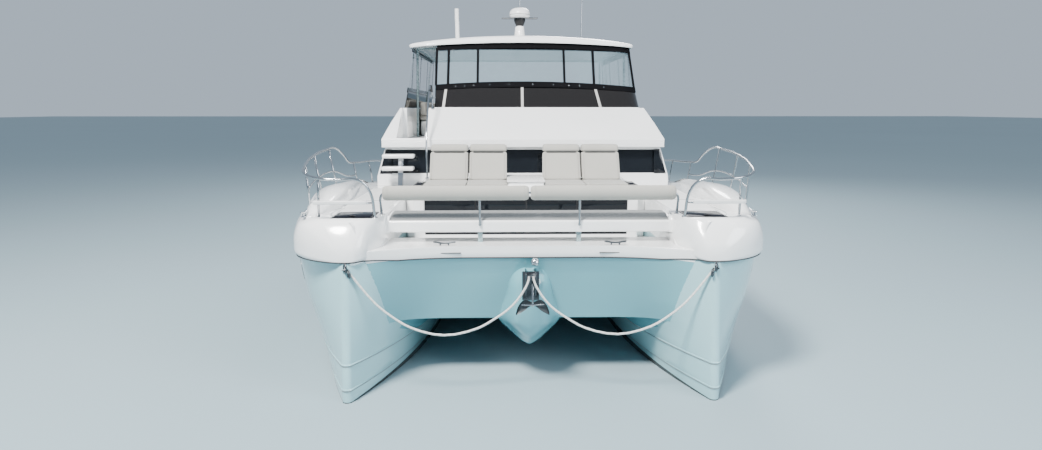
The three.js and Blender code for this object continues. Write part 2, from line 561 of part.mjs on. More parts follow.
// Ground tackle on the nacelle: roller cheeks, plough anchor and its shank.
function makeAnchor() {
  const cheeks = [-70, 55].map((x) =>
    acrossPrism([[-5900, 1240], [-5900, 1560], [-6268, 1560], [-6268, 1535], [-6220, 1440], [-6100, 1240]],
    x, x + 15));
  const plate = box(-110, 110, -6075, -6060, 1180, 1560);
  const roller = bar([-56, -6180, 1500], [56, -6180, 1500], 40, 12);
  const bail = bar([-62, -6260, 1550], [62, -6260, 1550], 8);
  const bracket = join(cheeks, plate, roller, bail, box(-70, 70, -6110, -6060, 1500, 1530)).subtract(join(
    [-0.8, 0.8].flatMap((x) => [[x, -0.8, 0.6], [x, -0.8, -0.8], [x, 0, 0.6], [x, 0, -0.8]]).map((shift) =>
      nacelle().translate(shift))));
  place("anchor_roller", bracket, finish("steel", 0.2, 1));
  const shank = acrossPrism([[-6205, 1459.6], [-6150, 1459.6], [-6120, 1060], [-6210, 1030]], -14, 14);
  const fluke = loft([[-170, 0.1], [-90, 0.7], [0, 1], [90, 0.7], [170, 0.1]].map(([x, f]) => [
    [x, -6270, 1070 - Math.abs(x) * 0.2], [x, -6110 , 1075 - Math.abs(x) * 0.2], [x, -6090,
      1060 - 130 * f - Math.abs(x) * 0.4], [x, -6250, 1050 - 90 * f - Math.abs(x) * 0.4]]));
  const loop = bar([-120, -6290, 1080], [120, -6290, 1080], 9, 6);
  const arms = [-110, 110].map((x) => bar([x, -6290, 1080], [x, -6200, 1040], 9, 6));
  place("anchor", join(shank, fluke, loop, arms), finish("iron", 0.35, 1));
}

// Anchor bridle: a rope from each bow's eye to the anchor roller, hanging in its own curve.
function makeBridle(side) {
  const route = [[2291, -6408, EYE_Z - 12.4], [2288, -6408, 1690], [2220, -6400, 1594], [1940, -6380, 1228],
    [1759, -6370, 1068], [1513, -6360, 909],
    [1100, -6335, 800], [684, -6305, 877], [456, -6290, 1002], [240, -6280, 1164], [70, -6270, 1399], [32,
      -6262, 1500], [28, -6260, 1540.2]];
  place("bridle_" + nameOf(side), sided(bentTube(route, 14, 40), side), finish("rope", 0.8));
}

// Saloon house: four walls with their windows cut, standing on the bridgedeck and under the flybridge.
const HOUSE_FLOOR_Z = SOLE_Z - 40 + GAP;
const HOUSE_LEVELS = [
  [HOUSE_FLOOR_Z, HOUSE_BASE_X, 0],
  [TRUNK_Z, 2628, 0],
  [FLY_Z - GAP, HOUSE_TOP_X, 80],
];
// The house's outline pulled in by a wall's depth, as one block, made taller at both ends where it cuts.
const houseBlock = (inset, taller = 0) => loft([0, 1, 2].map((n) => {
  const [z, x, rake] = HOUSE_LEVELS[n];
  const up = n === 2 ? taller : 0;
  const [low, mid, top] = HOUSE_LEVELS;
  const half = x + (up * (top[1] - mid[1])) / (top[0] - mid[0]) - inset;
  const front = HOUSE_FRONT_Y + rake + (up * (top[2] - mid[2])) / (top[0] - mid[0]) + inset;
  const [aft, level] = [HOUSE_AFT_Y - 5 - inset, n === 0 ? low[0] - taller : z + up];
  return [[half, front, level], [half, aft, level], [-half, aft, level], [-half, front, level]];
}));
const houseSkin = (from, to) => houseBlock(from).subtract(houseBlock(to, 50));
const FRONT_WINDOWS = [[-2380, -850], [-810, 810], [850, 2380]];
const SIDE_WINDOW = { y0: -1950, y1: 2500, z0: 2330, z1: 2860 };
const DOOR = { x0: -1100, x1: -200, z0: 1000, z1: 2860 };
function makeHouse() {
  const cutter = hullShape(GAP);
  const ring = houseSkin(0, WALL).subtract(cutter).subtract(mirrorX(cutter));
  const frontEnd = HOUSE_FRONT_Y + 80 + WALL;
  const frontPart = box(-3000, 3000, -3000, frontEnd, 0, 4000);
  const aftPart = box(-3000, 3000, HOUSE_AFT_Y - 5 - WALL, 4000, 0, 4000);
  const frontHoles = join(FRONT_WINDOWS.map(([x0, x1]) => box(x0, x1, -3000, -1800, 2470, 2890)));
  place("house_front", ring.intersect(frontPart).subtract(frontHoles), finish("gelcoat", 0.3));
  const aftHoles = join(box(DOOR.x0, DOOR.x1, 2000, 3500, DOOR.z0, DOOR.z1),
    box(100, 2200, 2000, 3500, 1900, 2860), box(-2200, -1250, 2000, 3500, 1900, 2860));
  const upper = box(-3000, 3000, -4000, 4000, JOINT_BOW_Z + 2, 4000);
  place("house_aft", ring.intersect(aftPart).subtract(aftHoles), finish("gelcoat", 0.3));
  const middle = ring.intersect(box(-3000, 3000, frontEnd + GAP, HOUSE_AFT_Y - 5 - WALL - GAP, 0,
    4000)).intersect(upper);
  const slope = 260;
  const sideHole = acrossPrism([[SIDE_WINDOW.y0, SIDE_WINDOW.z0], [SIDE_WINDOW.y0 + slope, SIDE_WINDOW.z1],
    [SIDE_WINDOW.y1, SIDE_WINDOW.z1], [SIDE_WINDOW.y1, SIDE_WINDOW.z0]], 2000, 3000);
  const pane = houseSkin(WALL + GAP, WALL + 12);
  place("front_glass", pane.intersect(box(-2400, 2400, -3000, frontEnd + 11, 2440, 2925)),
    finish("glass", 0.05));
  const paneY = HOUSE_AFT_Y - 5 - WALL - GAP;
  place("aft_glass", join([[80, 2220],
    [-2220, -1240]].map(([x0, x1]) =>
    box(x0, x1, paneY - 12, paneY, 1880,
    2880)), box(-1245, 85, paneY - 12, paneY, 2862, 2880)), finish("glass", 0.05));
  for (const side of [-1, 1]) {
    const half = box(100, 3000, -3000, 4000, 0, 4000);
    place("house_side_" + nameOf(side), sided(middle.intersect(half).subtract(sideHole), side),
      finish("gelcoat", 0.3));
    const sidePane = pane.intersect(box(2000, 3000, SIDE_WINDOW.y0 - 40, SIDE_WINDOW.y1 + 40, 2290, 2895));
    place("side_glass_" + nameOf(side), sided(sidePane, side), finish("glass", 0.05));
  }
  const leaf = box(DOOR.x0 - 20, DOOR.x1 + 20, HOUSE_AFT_Y + 2, HOUSE_AFT_Y + 34, 960, 2885);
  const runner = box(DOOR.x0 - 20, DOOR.x1 + 20, HOUSE_AFT_Y - 5 + GAP, HOUSE_AFT_Y + 10, 2868, 2885);
  place("saloon_door", leaf.add(runner), finish("glass", 0.05));
}

// Steps from the foredeck to the flybridge, on one steel spine, and their handrail.
function makeForeStair() {
  const treads = [2560, 2780].map((z, n) => box(-2380, -1760, -2650 + n * 90, -2430 + n * 90, z - 50, z));
  const foot = box(-2110, -2000, -2660, -2500, DECK_BOW_Z + GAP, DECK_BOW_Z + 12);
  const spine = acrossPrism([[-2640, DECK_BOW_Z + 5], [-2560, DECK_BOW_Z + 5], [-2380, 2760],
    [-2460, 2760]], -2085, -2025);
  place("fore_stair", join(treads, foot, spine), finish("gelcoat", 0.4));
  const high = [[-1690, -2620, TRUNK_Z + GAP], [-1700, -2560, 3000], [-1705, -2250, 3500],
    [-1705, -1850, 3930], [-1700, -1620, 4030], [-1695, -1520, 3930], [-1690, -1500, BROW_TOP_Z + GAP]];
  place("stair_rail", bentTube(high, 16, 24).trimByPlane([0, 0, 1],
    TRUNK_Z + GAP).subtract(box(-1800, -1600, -1700, -1400, 3500,
    BROW_TOP_Z + GAP)), finish("steel", 0.15, 1));
}

// Flybridge deck, brow and coaming.
const STAIR_HOLE = { x0: 1330, x1: 2160, y0: 2950, y1: 4420 };
// Columns: place, half width at the top, height of the top.
const COAMING = [
  [BROW_FRONT_Y, BROW_BASE_X, 3056],
  [BROW_FRONT_Y + 10, BROW_BASE_X - 4, 3090],
  [-1900, 2420, 3355],
  [BROW_TOP_Y, COAMING_X, BROW_TOP_Z],
  [-1000, COAMING_X, BROW_TOP_Z],
  [2500, COAMING_X, 3600],
  [3900, COAMING_X, 3560],
  [4400, COAMING_X, 3420],
];
const STAIR_SLOT = [-2260, -1760]; // where the fore stair passes through the brow
function makeFlybridge() {
  const [x, y] = [BROW_BASE_X, FLY_AFT_Y];
  const slab = planPrism([[-x, BROW_FRONT_Y], [x, BROW_FRONT_Y], [x, y - 300], [x - 300, y], [-x + 300, y],
    [-x, y - 300]], FLY_Z, FLY_SOLE_Z);
  const stairHole = box(STAIR_HOLE.x0, STAIR_HOLE.x1, STAIR_HOLE.y0, STAIR_HOLE.y1, 2900, 3100);
  const made = join(slab.subtract(stairHole), aftPost(-1), aftPost(1)).trimByPlane([0, 0, -1], -FLY_SOLE_Z);
  place("fly_deck", made, finish("gelcoat", 0.35));
  const low = FLY_SOLE_Z + GAP;
  const outer = loft(COAMING.map(([at, half, z]) => {
    const foot = Math.min(BROW_BASE_X, half + 130);
    return [[foot, at, low], [half, at, z], [-half, at, z], [-foot, at, low]];
  }));
  const well = planPrism([[-2190, -1390], [2190, -1390], [2190, 5000], [-2190, 5000]], low - 5, 5000);
  const slot = box(STAIR_SLOT[0], STAIR_SLOT[1], -2300, -1380, low - 5, 5000);
  place("fly_coaming", outer.subtract(well).subtract(slot), finish("gelcoat", 0.3));
}

// Tinted windscreen on the coaming and the clear curtains above it, with their dark fabric frame.
// Columns: height, half width of the sides, place of the front face.
const SCREEN_SPLIT_Z = 4065; // tinted below, clear above
const SCREEN = [[BROW_TOP_Z + GAP, 2255, -1430], [SCREEN_SPLIT_Z, 2215, -1190],
  [HARDTOP_Z - GAP, 2150, -740]];
const SCREEN_AFT_Y = 3600;
const GATE_X = -1655; // starboard edge of the front screen, beside the stair gate
function screenAt(z) {
  const [low, high] = z <= SCREEN[1][0] ? [SCREEN[0], SCREEN[1]] : [SCREEN[1], SCREEN[2]];
  const t = (z - low[0]) / (high[0] - low[0]);
  return { x: lerp(low[1], high[1], t), y: lerp(low[2], high[2], t) };
}
// A ring of the screen at one height, grown outwards by off, from the gate round the front and down the
// port side.
function screenRing(z, off, thick) {
  const { x, y } = screenAt(z);
  const line = (grow) => [[GATE_X, y - grow], [x - 260, y - grow],
    [x - 80 + grow * 0.4, y + 70 - grow * 0.7], [x + grow, y + 260], [x + grow, SCREEN_AFT_Y]];
  return [...line(off + thick), ...line(off).reverse()].map(([px, py]) => [px, py, z]);
}
const screenSkin = (z0, z1, off, thick) => {
  const levels = z0 < SCREEN_SPLIT_Z && z1 > SCREEN_SPLIT_Z ? [z0, SCREEN_SPLIT_Z, z1] : [z0, z1];
  return loft(levels.map((z) => screenRing(z, off, thick)));
};
// The starboard side of the screen, behind the gate.
function sideSkin(z0, z1, off, thick) {
  const section = (place) => [[z0, off], [z1, off], [z1, off + thick],
    [z0, off + thick]].map(([z, o]) => [-screenAt(z).x - o, place(z), z]);
  return loft([section((z) => screenAt(z).y + 275), section(() => SCREEN_AFT_Y)]);
}
function makeScreens() {
  const split = SCREEN_SPLIT_Z;
  place("windscreen_front", screenSkin(SCREEN[0][0], split - GAP, 0, 12), finish("glass", 0.1));
  place("windscreen_starboard", sideSkin(SCREEN[0][0], split - GAP, 0, 12), finish("glass", 0.1));
  place("curtain_front", screenSkin(split, SCREEN[2][0], 0, 6), finish("clear", 0.1));
  place("curtain_starboard", sideSkin(split, SCREEN[2][0], 0, 6), finish("clear", 0.1));
  const off = 13;
  const top = HARDTOP_Z - GAP;
  const front = (z0, z1, inset = 0) => screenSkin(z0, z1, off + inset, 10 - 2 * inset);
  const flank = (z0, z1, inset = 0) => sideSkin(z0, z1, off + inset, 10 - 2 * inset);
  const crown = front(top - 60, top);
  const posts = [-1630, -1250, -790, 790, 1250,
    1700].map((x) => front(split + 60, top - 40, 1.5).intersect(box(x - 22, x + 22, -3000, 0, 3000, 6000)));
  const ribs = [-600, 800, 2200, 3570].flatMap((y) => [
    front(split + 60, top - 40, 1.5).intersect(box(1900, 3000, y - 25, y + 25, 3000, 6000)),
    flank(split + 60, top - 40, 1.5).intersect(box(-3000, -1900, y - 25, y + 25, 3000, 6000))]);
  const frame = join(crown, mirrorX(crown), front(split - 10, split + 75), flank(split - 10, split + 75),
    posts, ribs);
  place("curtain_frame", frame, finish("canvas", 0.9));
}

// Hardtop with a cambered crown, and the tubes that carry it.
const HARDTOP_STATIONS = [[HARDTOP_FRONT_Y, 0.8, 0.35], [HARDTOP_FRONT_Y + 60, 0.93, 0.8],
  [HARDTOP_FRONT_Y + 260, 1, 1], [1700, 1, 1.15], [HARDTOP_AFT_Y - 200, 0.98, 1], [HARDTOP_AFT_Y, 0.9,
  0.5]];
const LEGS = { x0: 2130, x1: 2090, ys: [-300, 3450] }; // its tubular legs, from the flybridge sole
const HARDTOP_SECTION = [[1, 0], [1.005, 50], [0.97, 95], [0.75, 165], [0.4, 215], [0, 235]];
function hardtopBody(extra = 0) {
  return loft(HARDTOP_STATIONS.map(([y, wide, high]) => {
    const half = HARDTOP_SECTION.map(([x, z]) => [x * wide * HARDTOP_X, y, HARDTOP_Z + z * high + extra]);
    return [...half, ...half.slice(0, -1).map(([x, py, z]) => [-x, py, z]).reverse()];
  }));
}
function makeHardtop() {
  place("hardtop", join(hardtopBody(), antenna(-1380, 720, 34), antenna(1470, 2350, 12)),
    finish("gelcoat", 0.3));
  const [railX, railZ] = [LEGS.x1 - 5, HARDTOP_Z - 30];
  const legs = [-1, 1].flatMap((side) =>
    LEGS.ys.map((y) => bar([side * LEGS.x0, y, FLY_SOLE_Z - 30], [side * LEGS.x1, y, HARDTOP_Z + 30], 24)));
  const rings = [-1, 1].map((side) =>
    bar([side * railX, LEGS.ys[0] - 20, railZ], [side * railX, LEGS.ys[1] + 20, railZ], 20));
  const cross = LEGS.ys.map((y) => bar([-railX, y, railZ], [railX, y, railZ], 20));
  const frame = join(legs, rings, cross).trimByPlane([0, 0, 1], FLY_SOLE_Z + GAP).trimByPlane([0, 0, -1],
    -HARDTOP_Z + GAP);
  place("hardtop_frame", frame, finish("steel", 0.2, 1));
}

// Mast with its spreader and radar dome.
const MAST = { y: 1200, foot: 5040, top: 5460, spreader: 5600 };
function makeMast() {
  const foot = loft([[MAST.foot, 130, 190], [MAST.top, 70, 110]].map(([z, x, y]) =>
    [[x, MAST.y + y, z], [-x, MAST.y + y, z], [-x, MAST.y - y, z], [x, MAST.y - y, z]]));
  const parts = [foot, box(-60, 60, MAST.y - 70, MAST.y + 70, MAST.top - 20, MAST.spreader),
    box(-400, 400, MAST.y - 120, MAST.y + 120, MAST.spreader - 20, MAST.spreader),
    bar([0, MAST.y + 100, MAST.spreader - 10], [0, MAST.y + 100, 6150], 14)];
  const outline = [[0, 0], [215, 0], [225, 60], [200, 150], [120, 195],
    [0, 205]].map(([r, z]) => new THREE.Vector2(r, z));
  const dome = new THREE.LatheGeometry(outline, 16).rotateX(Math.PI / 2);
  const made = join(parts, solid(dome.translate(0, MAST.y - 90,
    MAST.spreader - 1))).subtract(hardtopBody(GAP));
  place("mast", made, finish("plastic", 0.4));
}
// An upright antenna on the hardtop, rooted in its skin.
function antenna(x, length, radius) {
  const z = hardtopTop(x, MAST.y);
  return join(bar([x, MAST.y, z - 20], [x, MAST.y, z + 80], radius + 14),
    bar([x, MAST.y, z + 60], [x * 1.01, MAST.y, z + length], radius));
}
function hardtopTop(x, y) {
  const high = lerp(1, 1.15, (y - HARDTOP_FRONT_Y - 260) / (1700 - HARDTOP_FRONT_Y - 260));
  const share = Math.abs(x) / HARDTOP_X;
  for (let i = 0; i + 1 < HARDTOP_SECTION.length; i++) {
    const [a, za] = HARDTOP_SECTION[i];
    const [b, zb] = HARDTOP_SECTION[i + 1];
    if (share <= a && share >= b && i > 0) return HARDTOP_Z + high * lerp(za, zb, (a - share) / (a - b));
  }
  return HARDTOP_Z;
}

// Flybridge furniture.
function makeFlyFurniture() {
  const low = FLY_SOLE_Z + GAP;
  const console_ = acrossPrism([[-1280, low], [-1280, 3900], [-1050, 4060], [-780, 3900], [-700, 3700],
    [-700, low]], 150, 1450);
  const centre = new THREE.Vector3(800, -640, 3840);
  const tilt = (-65 * Math.PI) / 180;
  const axis = new THREE.Vector3(0, 0, 1).applyAxisAngle(new THREE.Vector3(1, 0, 0), tilt);
  const along = (distance) => centre.clone().addScaledVector(axis, distance).toArray();
  place("helm_console", console_.add(bar(along(-105.3), along(-150), 55, 16)), finish("gelcoat", 0.4));
  const rim = solid(new THREE.TorusGeometry(190, 16, 6, 20));
  const spokes = [0, 1, 2].map((n) => solid(new THREE.BoxGeometry(24, 370, 10).rotateZ((n * Math.PI) / 3)));
  const hub = bar([0, 0, 5], [0, 0, -104.9], 35, 12);
  place("helm_wheel", join(rim, spokes, hub).rotate([-65, 0, 0]).translate(centre.toArray()),
    finish("dark", 0.5));
  const seat = join(box(250, 1350, 100, 600, low, 3480), box(250, 1350, 560, 700, low, 4050));
  place("helm_seat", seat, finish("cushion", 0.8));
  const lounge = join(box(-2150, -1500, 300, 3200, low, 3470), box(-2150, 200, 2600, 3200, low, 3470),
    box(-2150, -2000, 300, 3200, low, 3750), box(-2150, 200, 3080, 3200, low, 3750));
  place("fly_lounge", lounge, finish("cushion", 0.8));
}

// Cockpit: sole with the after bulkhead, the bench along it and the swim platform between the hulls.
function makeCockpit() {
  const low = SOLE_Z - 40 + GAP;
  const sole = box(-COCKPIT_X + GAP, COCKPIT_X - GAP, HOUSE_AFT_Y, COCKPIT_AFT_Y, low, SOLE_Z);
  const bulwark = box(-1300, 1300, COCKPIT_AFT_Y - 80, COCKPIT_AFT_Y, low, 1480);
  const table = join(box(-750, 650, 3500, 4250, 1660, 1700), box(-110, 10, 3800, 3920, SOLE_Z - 10, 1680));
  place("cockpit", join(sole, bulwark, table), finish("gelcoat", 0.4));
  const seat = join(box(-1290, 1290, 4560, 5120, SOLE_Z + GAP, 1400),
    box(-1290, 1290, 5000, COCKPIT_AFT_Y - 80 - GAP, SOLE_Z + GAP, 1760));
  place("cockpit_seat", seat, finish("cushion", 0.85));
}

// Steps from the cockpit to the flybridge, on the port side.
function makeAftStair() {
  const count = 7;
  const [x0, x1] = [1430, 2060];
  const rise = (FLY_SOLE_Z - SOLE_Z) / (count + 1);
  const treads = Array.from({ length: count }, (_, n) => {
    const [y, z] = [4480 - n * 180, SOLE_Z + rise * (n + 1)];
    return box(x0, x1, y - 210, y, z - 40, z);
  });
  const [foot, head] = [[4560, SOLE_Z + GAP], [3140, FLY_Z - 60]];
  const stringers = [x0 - 10, x1 - 20].map((x) =>
    acrossPrism([foot, [foot[0], foot[1] + 130], [head[0] + 60, head[1]], [head[0] - 90, head[1]],
    [foot[0] - 190, foot[1]]], x, x + 30));
  place("aft_stair", join(treads, stringers), finish("gelcoat", 0.4));
}

// Post from a cockpit coaming to the overhang of the flybridge.
function aftPost(side) {
  const [y, foot] = [4300, deckTop(3020, 4300)];
  const post = bar([3040, y, foot - 60], [2420, y, FLY_Z + 40], 38, 12);
  return sided(post.subtract(deckBody(GAP)), side);
}

for (const side of [-1, 1]) {
  makeHull(side);
  makeDeck(side);
  makeBowHatch(side);
  makePropeller(side);
  makeRudder(side);
  makeBowRail(side);
  makeBolster(side);
  makeLounge(side);
  makeBridle(side);
}
makeBridgedeck();
makeForedeck();
makeBench();
makeFrontRail();
makeTrunk();
makeAnchor();
makeHouse();
makeForeStair();
makeFlybridge();
makeScreens();
makeHardtop();
makeMast();
makeFlyFurniture();
makeCockpit();
makeAftStair();

export default boat;
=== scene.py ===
"""Flybridge power catamaran, dressed on its CAD frame.

Metres, bow towards -Y, port towards +X, waterline at z 0.
"""
import math
import bpy
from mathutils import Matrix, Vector


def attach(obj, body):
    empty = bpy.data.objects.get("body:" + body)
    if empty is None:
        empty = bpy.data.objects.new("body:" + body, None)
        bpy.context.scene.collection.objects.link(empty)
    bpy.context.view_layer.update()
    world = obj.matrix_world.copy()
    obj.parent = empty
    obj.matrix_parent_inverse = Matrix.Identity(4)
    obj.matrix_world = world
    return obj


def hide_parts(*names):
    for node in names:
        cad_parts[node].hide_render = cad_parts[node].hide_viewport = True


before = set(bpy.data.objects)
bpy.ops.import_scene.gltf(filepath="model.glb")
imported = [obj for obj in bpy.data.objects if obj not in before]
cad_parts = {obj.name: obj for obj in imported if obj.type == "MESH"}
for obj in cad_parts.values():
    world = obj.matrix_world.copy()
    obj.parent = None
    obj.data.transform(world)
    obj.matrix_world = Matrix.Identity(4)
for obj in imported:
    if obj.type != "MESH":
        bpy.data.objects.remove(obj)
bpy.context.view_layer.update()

# Dimensions shared with the solids, in metres
HULL_X = 2.3
STEM_Y = -6.55
TRANSOM_Y = 6.3
JOINT_BOW_Z, JOINT_STERN_Z = 1.75, 1.3
DECK_BOW_Z, DECK_STERN_Z = 2.25, 1.62
SHEER_BREAK_Y = -1.9
TUNNEL_Z = 0.82
SOLE_Z = 0.95
SHELF_Z = 1.5
WELL_X = 1.9
LEDGE_Z = 1.86
TRUNK_FRONT_Y = -4.07
TRUNK_Z = 2.42
HOUSE_FRONT_Y = -2.25
HOUSE_AFT_Y = 2.9
COCKPIT_X = 2.86
FLY_SOLE_Z = 3.05
BROW_TOP_Z = 3.63
HARDTOP_Z = 4.84
RAIL_Y = -5.695
BOLSTER_Z = 2.53
GAP = 0.0004
TREAD_PROUD = 0.0025
SIDES = ((-1, "starboard"), (1, "port"))


# Camera, floor and light
CAMERA_PLACE, CAMERA_LENS, SENSOR_WIDTH = (-0.31, -14.77, 3.63), 24.0, 36.0
CAMERA_DOWN, CAMERA_TURN = math.radians(9.56), math.radians(-1.22)
FLOOR_X, FLOOR_Y0, FLOOR_Y1 = 200, -200, 300
FLOOR_TONE = (0.3, 0.4, 0.44)
SKY_TONE, SKY_STRENGTH = (0.62, 0.74, 0.88, 1), 0.75
# Lights: name, place, aim, diameter, watts, colour
LIGHTS = (
    ("key", (-7, -15, 19), (0, -2, 2), 5, 12800, (1.0, 0.98, 0.95)),
    ("fill", (13, -14, 9), (0, -2, 2), 9, 2300, (0.92, 0.96, 1.0)),
    ("rim", (5, 16, 15), (0, 0, 3), 8, 3400, (1.0, 1.0, 1.0)),
)


def set_camera():
    """Eye ahead of the bows, a little to starboard and looking slightly down."""
    data = bpy.data.cameras.new("camera")
    data.lens, data.sensor_width, data.sensor_fit = CAMERA_LENS, SENSOR_WIDTH, "HORIZONTAL"
    data.clip_end = 500.0
    camera = bpy.data.objects.new("camera", data)
    camera.location = CAMERA_PLACE
    camera.rotation_euler = (math.radians(90) - CAMERA_DOWN, 0.0, CAMERA_TURN)
    bpy.context.collection.objects.link(camera)
    bpy.context.scene.camera = camera


def area_light(name, place, aim, size, watts, colour):
    data = bpy.data.lights.new(name, "AREA")
    data.shape, data.size, data.energy, data.color = "DISK", size, watts, colour
    light = bpy.data.objects.new(name, data)
    light.location = place
    light.rotation_euler = (Vector(aim) - Vector(place)).to_track_quat("-Z", "Y").to_euler()
    bpy.context.collection.objects.link(light)


# Shader maths
class Value:
    """A socket that takes part in sums, each of which adds a Math node."""

    def __init__(self, finish, socket):
        self.finish, self.socket = finish, socket

    def _maths(self, operation, other, swapped=False):
        pair = (other, self) if swapped else (self, other)
        return self.finish.node("ShaderNodeMath", {"operation": operation}, {0: pair[0], 1: pair[1]})

    def __add__(self, other):
        return self._maths("ADD", other)

    def __radd__(self, other):
        return self._maths("ADD", other)

    def __sub__(self, other):
        return self._maths("SUBTRACT", other)

    def __rsub__(self, other):
        return self._maths("SUBTRACT", other, True)

    def __mul__(self, other):
        return self._maths("MULTIPLY", other)

    def __rmul__(self, other):
        return self._maths("MULTIPLY", other)

    def __lt__(self, other):
        return self._maths("LESS_THAN", other)

    def function(self, operation, other=0.0):
        return self._maths(operation, other)


class Finish:
    """One material with a Principled shader; constants are set on its own sockets."""

    def __init__(self, name, colour, roughness=0.4, **constants):
        self.material = bpy.data.materials.new(name)
        self.material.use_nodes = True
        self.nodes, self.links = self.material.node_tree.nodes, self.material.node_tree.links
        self.shader = self.nodes["Principled BSDF"]
        self.set("Base Color", (*colour, 1.0))
        self.set("Roughness", roughness)
        for socket, value in constants.items():
            self.set(socket.replace("_", " "), value)
        self.place = self.node("ShaderNodeTexCoord", {}, {}, "Object")

    def set(self, socket, value):
        target = self.shader.inputs[socket]
        if isinstance(value, Value):
            self.links.new(value.socket, target)
        else:
            target.default_value = value

    def node(self, kind, settings, inputs, output=0):
        made = self.nodes.new(kind)
        for key, value in settings.items():
            if key == "stops":
                ramp = made.color_ramp
                while len(ramp.elements) < len(value):
                    ramp.elements.new(0.5)
                for element, (at, colour) in zip(ramp.elements, value):
                    element.position, element.color = at, (*colour, 1.0)
            else:
                setattr(made, key, value)
        for socket, value in inputs.items():
            if isinstance(value, Value):
                self.links.new(value.socket, made.inputs[socket])
            else:
                made.inputs[socket].default_value = value
        return Value(self, made.outputs[output])

    def axes(self):
        split = self.node("ShaderNodeSeparateXYZ", {}, {0: self.place})
        outputs = split.socket.node.outputs
        return [Value(self, outputs[i]) for i in range(3)]

    def noise(self, scale, detail=3.0, place=None):
        inputs = {"Vector": place or self.place, "Scale": scale, "Detail": detail}
        return self.node("ShaderNodeTexNoise", {}, inputs)

    def mix(self, share, a, b):
        made = self.nodes.new("ShaderNodeMix")
        made.data_type = "RGBA"
        for index, value in ((0, share), (6, a), (7, b)):
            if isinstance(value, Value):
                self.links.new(value.socket, made.inputs[index])
            else:
                made.inputs[index].default_value = value if index == 0 else (*value, 1.0)
        return Value(self, made.outputs[2])

    def bump(self, height, strength=0.3, depth=0.002):
        inputs = {"Strength": strength, "Distance": depth, "Height": height}
        self.set("Normal", self.node("ShaderNodeBump", {}, inputs))


def range_to(value, low, high, out_low, out_high):
    inputs = {"Value": value, "From Min": low, "From Max": high, "To Min": out_low, "To Max": out_high}
    return value.finish.node("ShaderNodeMapRange", {}, inputs)


def shade(colour, share):
    return tuple(c * share for c in colour)


def gelcoat_finish(name, colour=(0.89, 0.895, 0.89), roughness=0.2):
    """Moulded gelcoat: glossy, faintly uneven, with a little grime in broad patches."""
    f = Finish(name, colour, roughness, Coat_Weight=0.6, Coat_Roughness=0.06)
    cloud = f.noise(0.7, 4.0)
    fine = f.noise(38.0, 2.0)
    f.set("Roughness", range_to(fine, 0.3, 0.7, roughness - 0.05, roughness + 0.08))
    f.set("Base Color", f.mix(range_to(cloud, 0.42, 0.66, 0.0, 0.35), colour, shade(colour, 0.93)))
    f.bump(f.noise(3.2, 2.0), 0.05, 0.01)
    return f.material


# The tone given as white is gelcoat carrying a painted teal reflection of the water.
def hull_finish(name="hull_sides_painted_reflection", white=(0.34, 0.57, 0.61)):
    """Hull sides: gelcoat tinted teal forward as a painted reflection of the water, fading to white aft and
    darker towards the waterline in patches, and dark antifouling with slime streaks below the waterline.
    """
    black = (0.012, 0.014, 0.016)
    f = Finish(name, white, 0.16, Coat_Weight=0.7, Coat_Roughness=0.05)
    _, y, z = f.axes()
    below = z < range_to(y, -6.9, -4.0, 0.0, 0.12)
    # Darker towards the waterline, in patches.
    darker_low = range_to(z, 0.02, 0.4, 0.45, 0.0) * f.noise(2.2, 5.0)
    # Painted reflection of the water: the teal tone forward, fading to the white gelcoat aft.
    side = f.mix(range_to(y, -2.5, 3.0, 0.0, 1.0), white, (0.84, 0.85, 0.85))
    side = f.mix(darker_low, side, shade(white, 0.77))
    slime = f.mix(range_to(f.noise(5.0, 6.0), 0.4, 0.7, 0.0, 1.0), black, (0.035, 0.045, 0.04))
    f.set("Base Color", f.mix(below, side, slime))
    f.set("Roughness", range_to(below, 0.0, 1.0, 0.16, 0.7))
    f.bump(f.noise(2.4, 2.0), 0.04, 0.01)
    return f.material


def nonskid_finish():
    """Moulded deck tread: a fine raised grid of diamonds, a shade greyer than the gelcoat."""
    f = Finish("tread_pattern", (0.66, 0.665, 0.66), 0.5)
    x, y, _ = f.axes()
    ridge = ((x + y) * 210.0).function("SINE") * ((x - y) * 210.0).function("SINE")
    f.bump(ridge, 0.5, 0.0012)
    worn = range_to(f.noise(1.6, 4.0), 0.4, 0.7, 0.0, 0.5)
    f.set("Base Color", f.mix(worn, (0.67, 0.675, 0.67), (0.58, 0.585, 0.58)))
    return f.material


def steel_finish(name="polished_tube", colour=(0.42, 0.44, 0.46), roughness=0.13):
    """Drawn and polished tube, its shine uneven with fine wear."""
    f = Finish(name, colour, roughness, Metallic=1.0)
    f.set("Roughness", range_to(f.noise(60.0, 3.0), 0.3, 0.7, roughness - 0.03, roughness + 0.1))
    f.bump(f.noise(240.0, 2.0), 0.04, 0.0004)
    return f.material


def dark_glass_finish(name, colour, alpha=1.0, coat=0.15, index=1.33):
    """Tinted pane whose gloss is broken by faint smears; index is that of its refraction."""
    f = Finish(name, colour, 0.04, Coat_Weight=coat, Coat_Roughness=0.02, IOR=index)
    f.set("Roughness", range_to(f.noise(1.1, 3.0), 0.35, 0.7, 0.03, 0.09))
    if alpha < 1.0:
        f.set("Alpha", alpha)
    f.bump(f.noise(0.9, 2.0), 0.03, 0.02)
    return f.material


def vinyl_finish():
    """Clear flexible curtain: see-through, with soft waves that break up its shine."""
    f = Finish("clear_vinyl", (0.2, 0.28, 0.32), 0.05, Coat_Weight=1.0, Coat_Roughness=0.03)
    f.set("Alpha", range_to(f.noise(1.4, 3.0), 0.3, 0.75, 0.2, 0.42))
    f.bump(f.noise(2.3, 3.0), 0.12, 0.02)
    return f.material


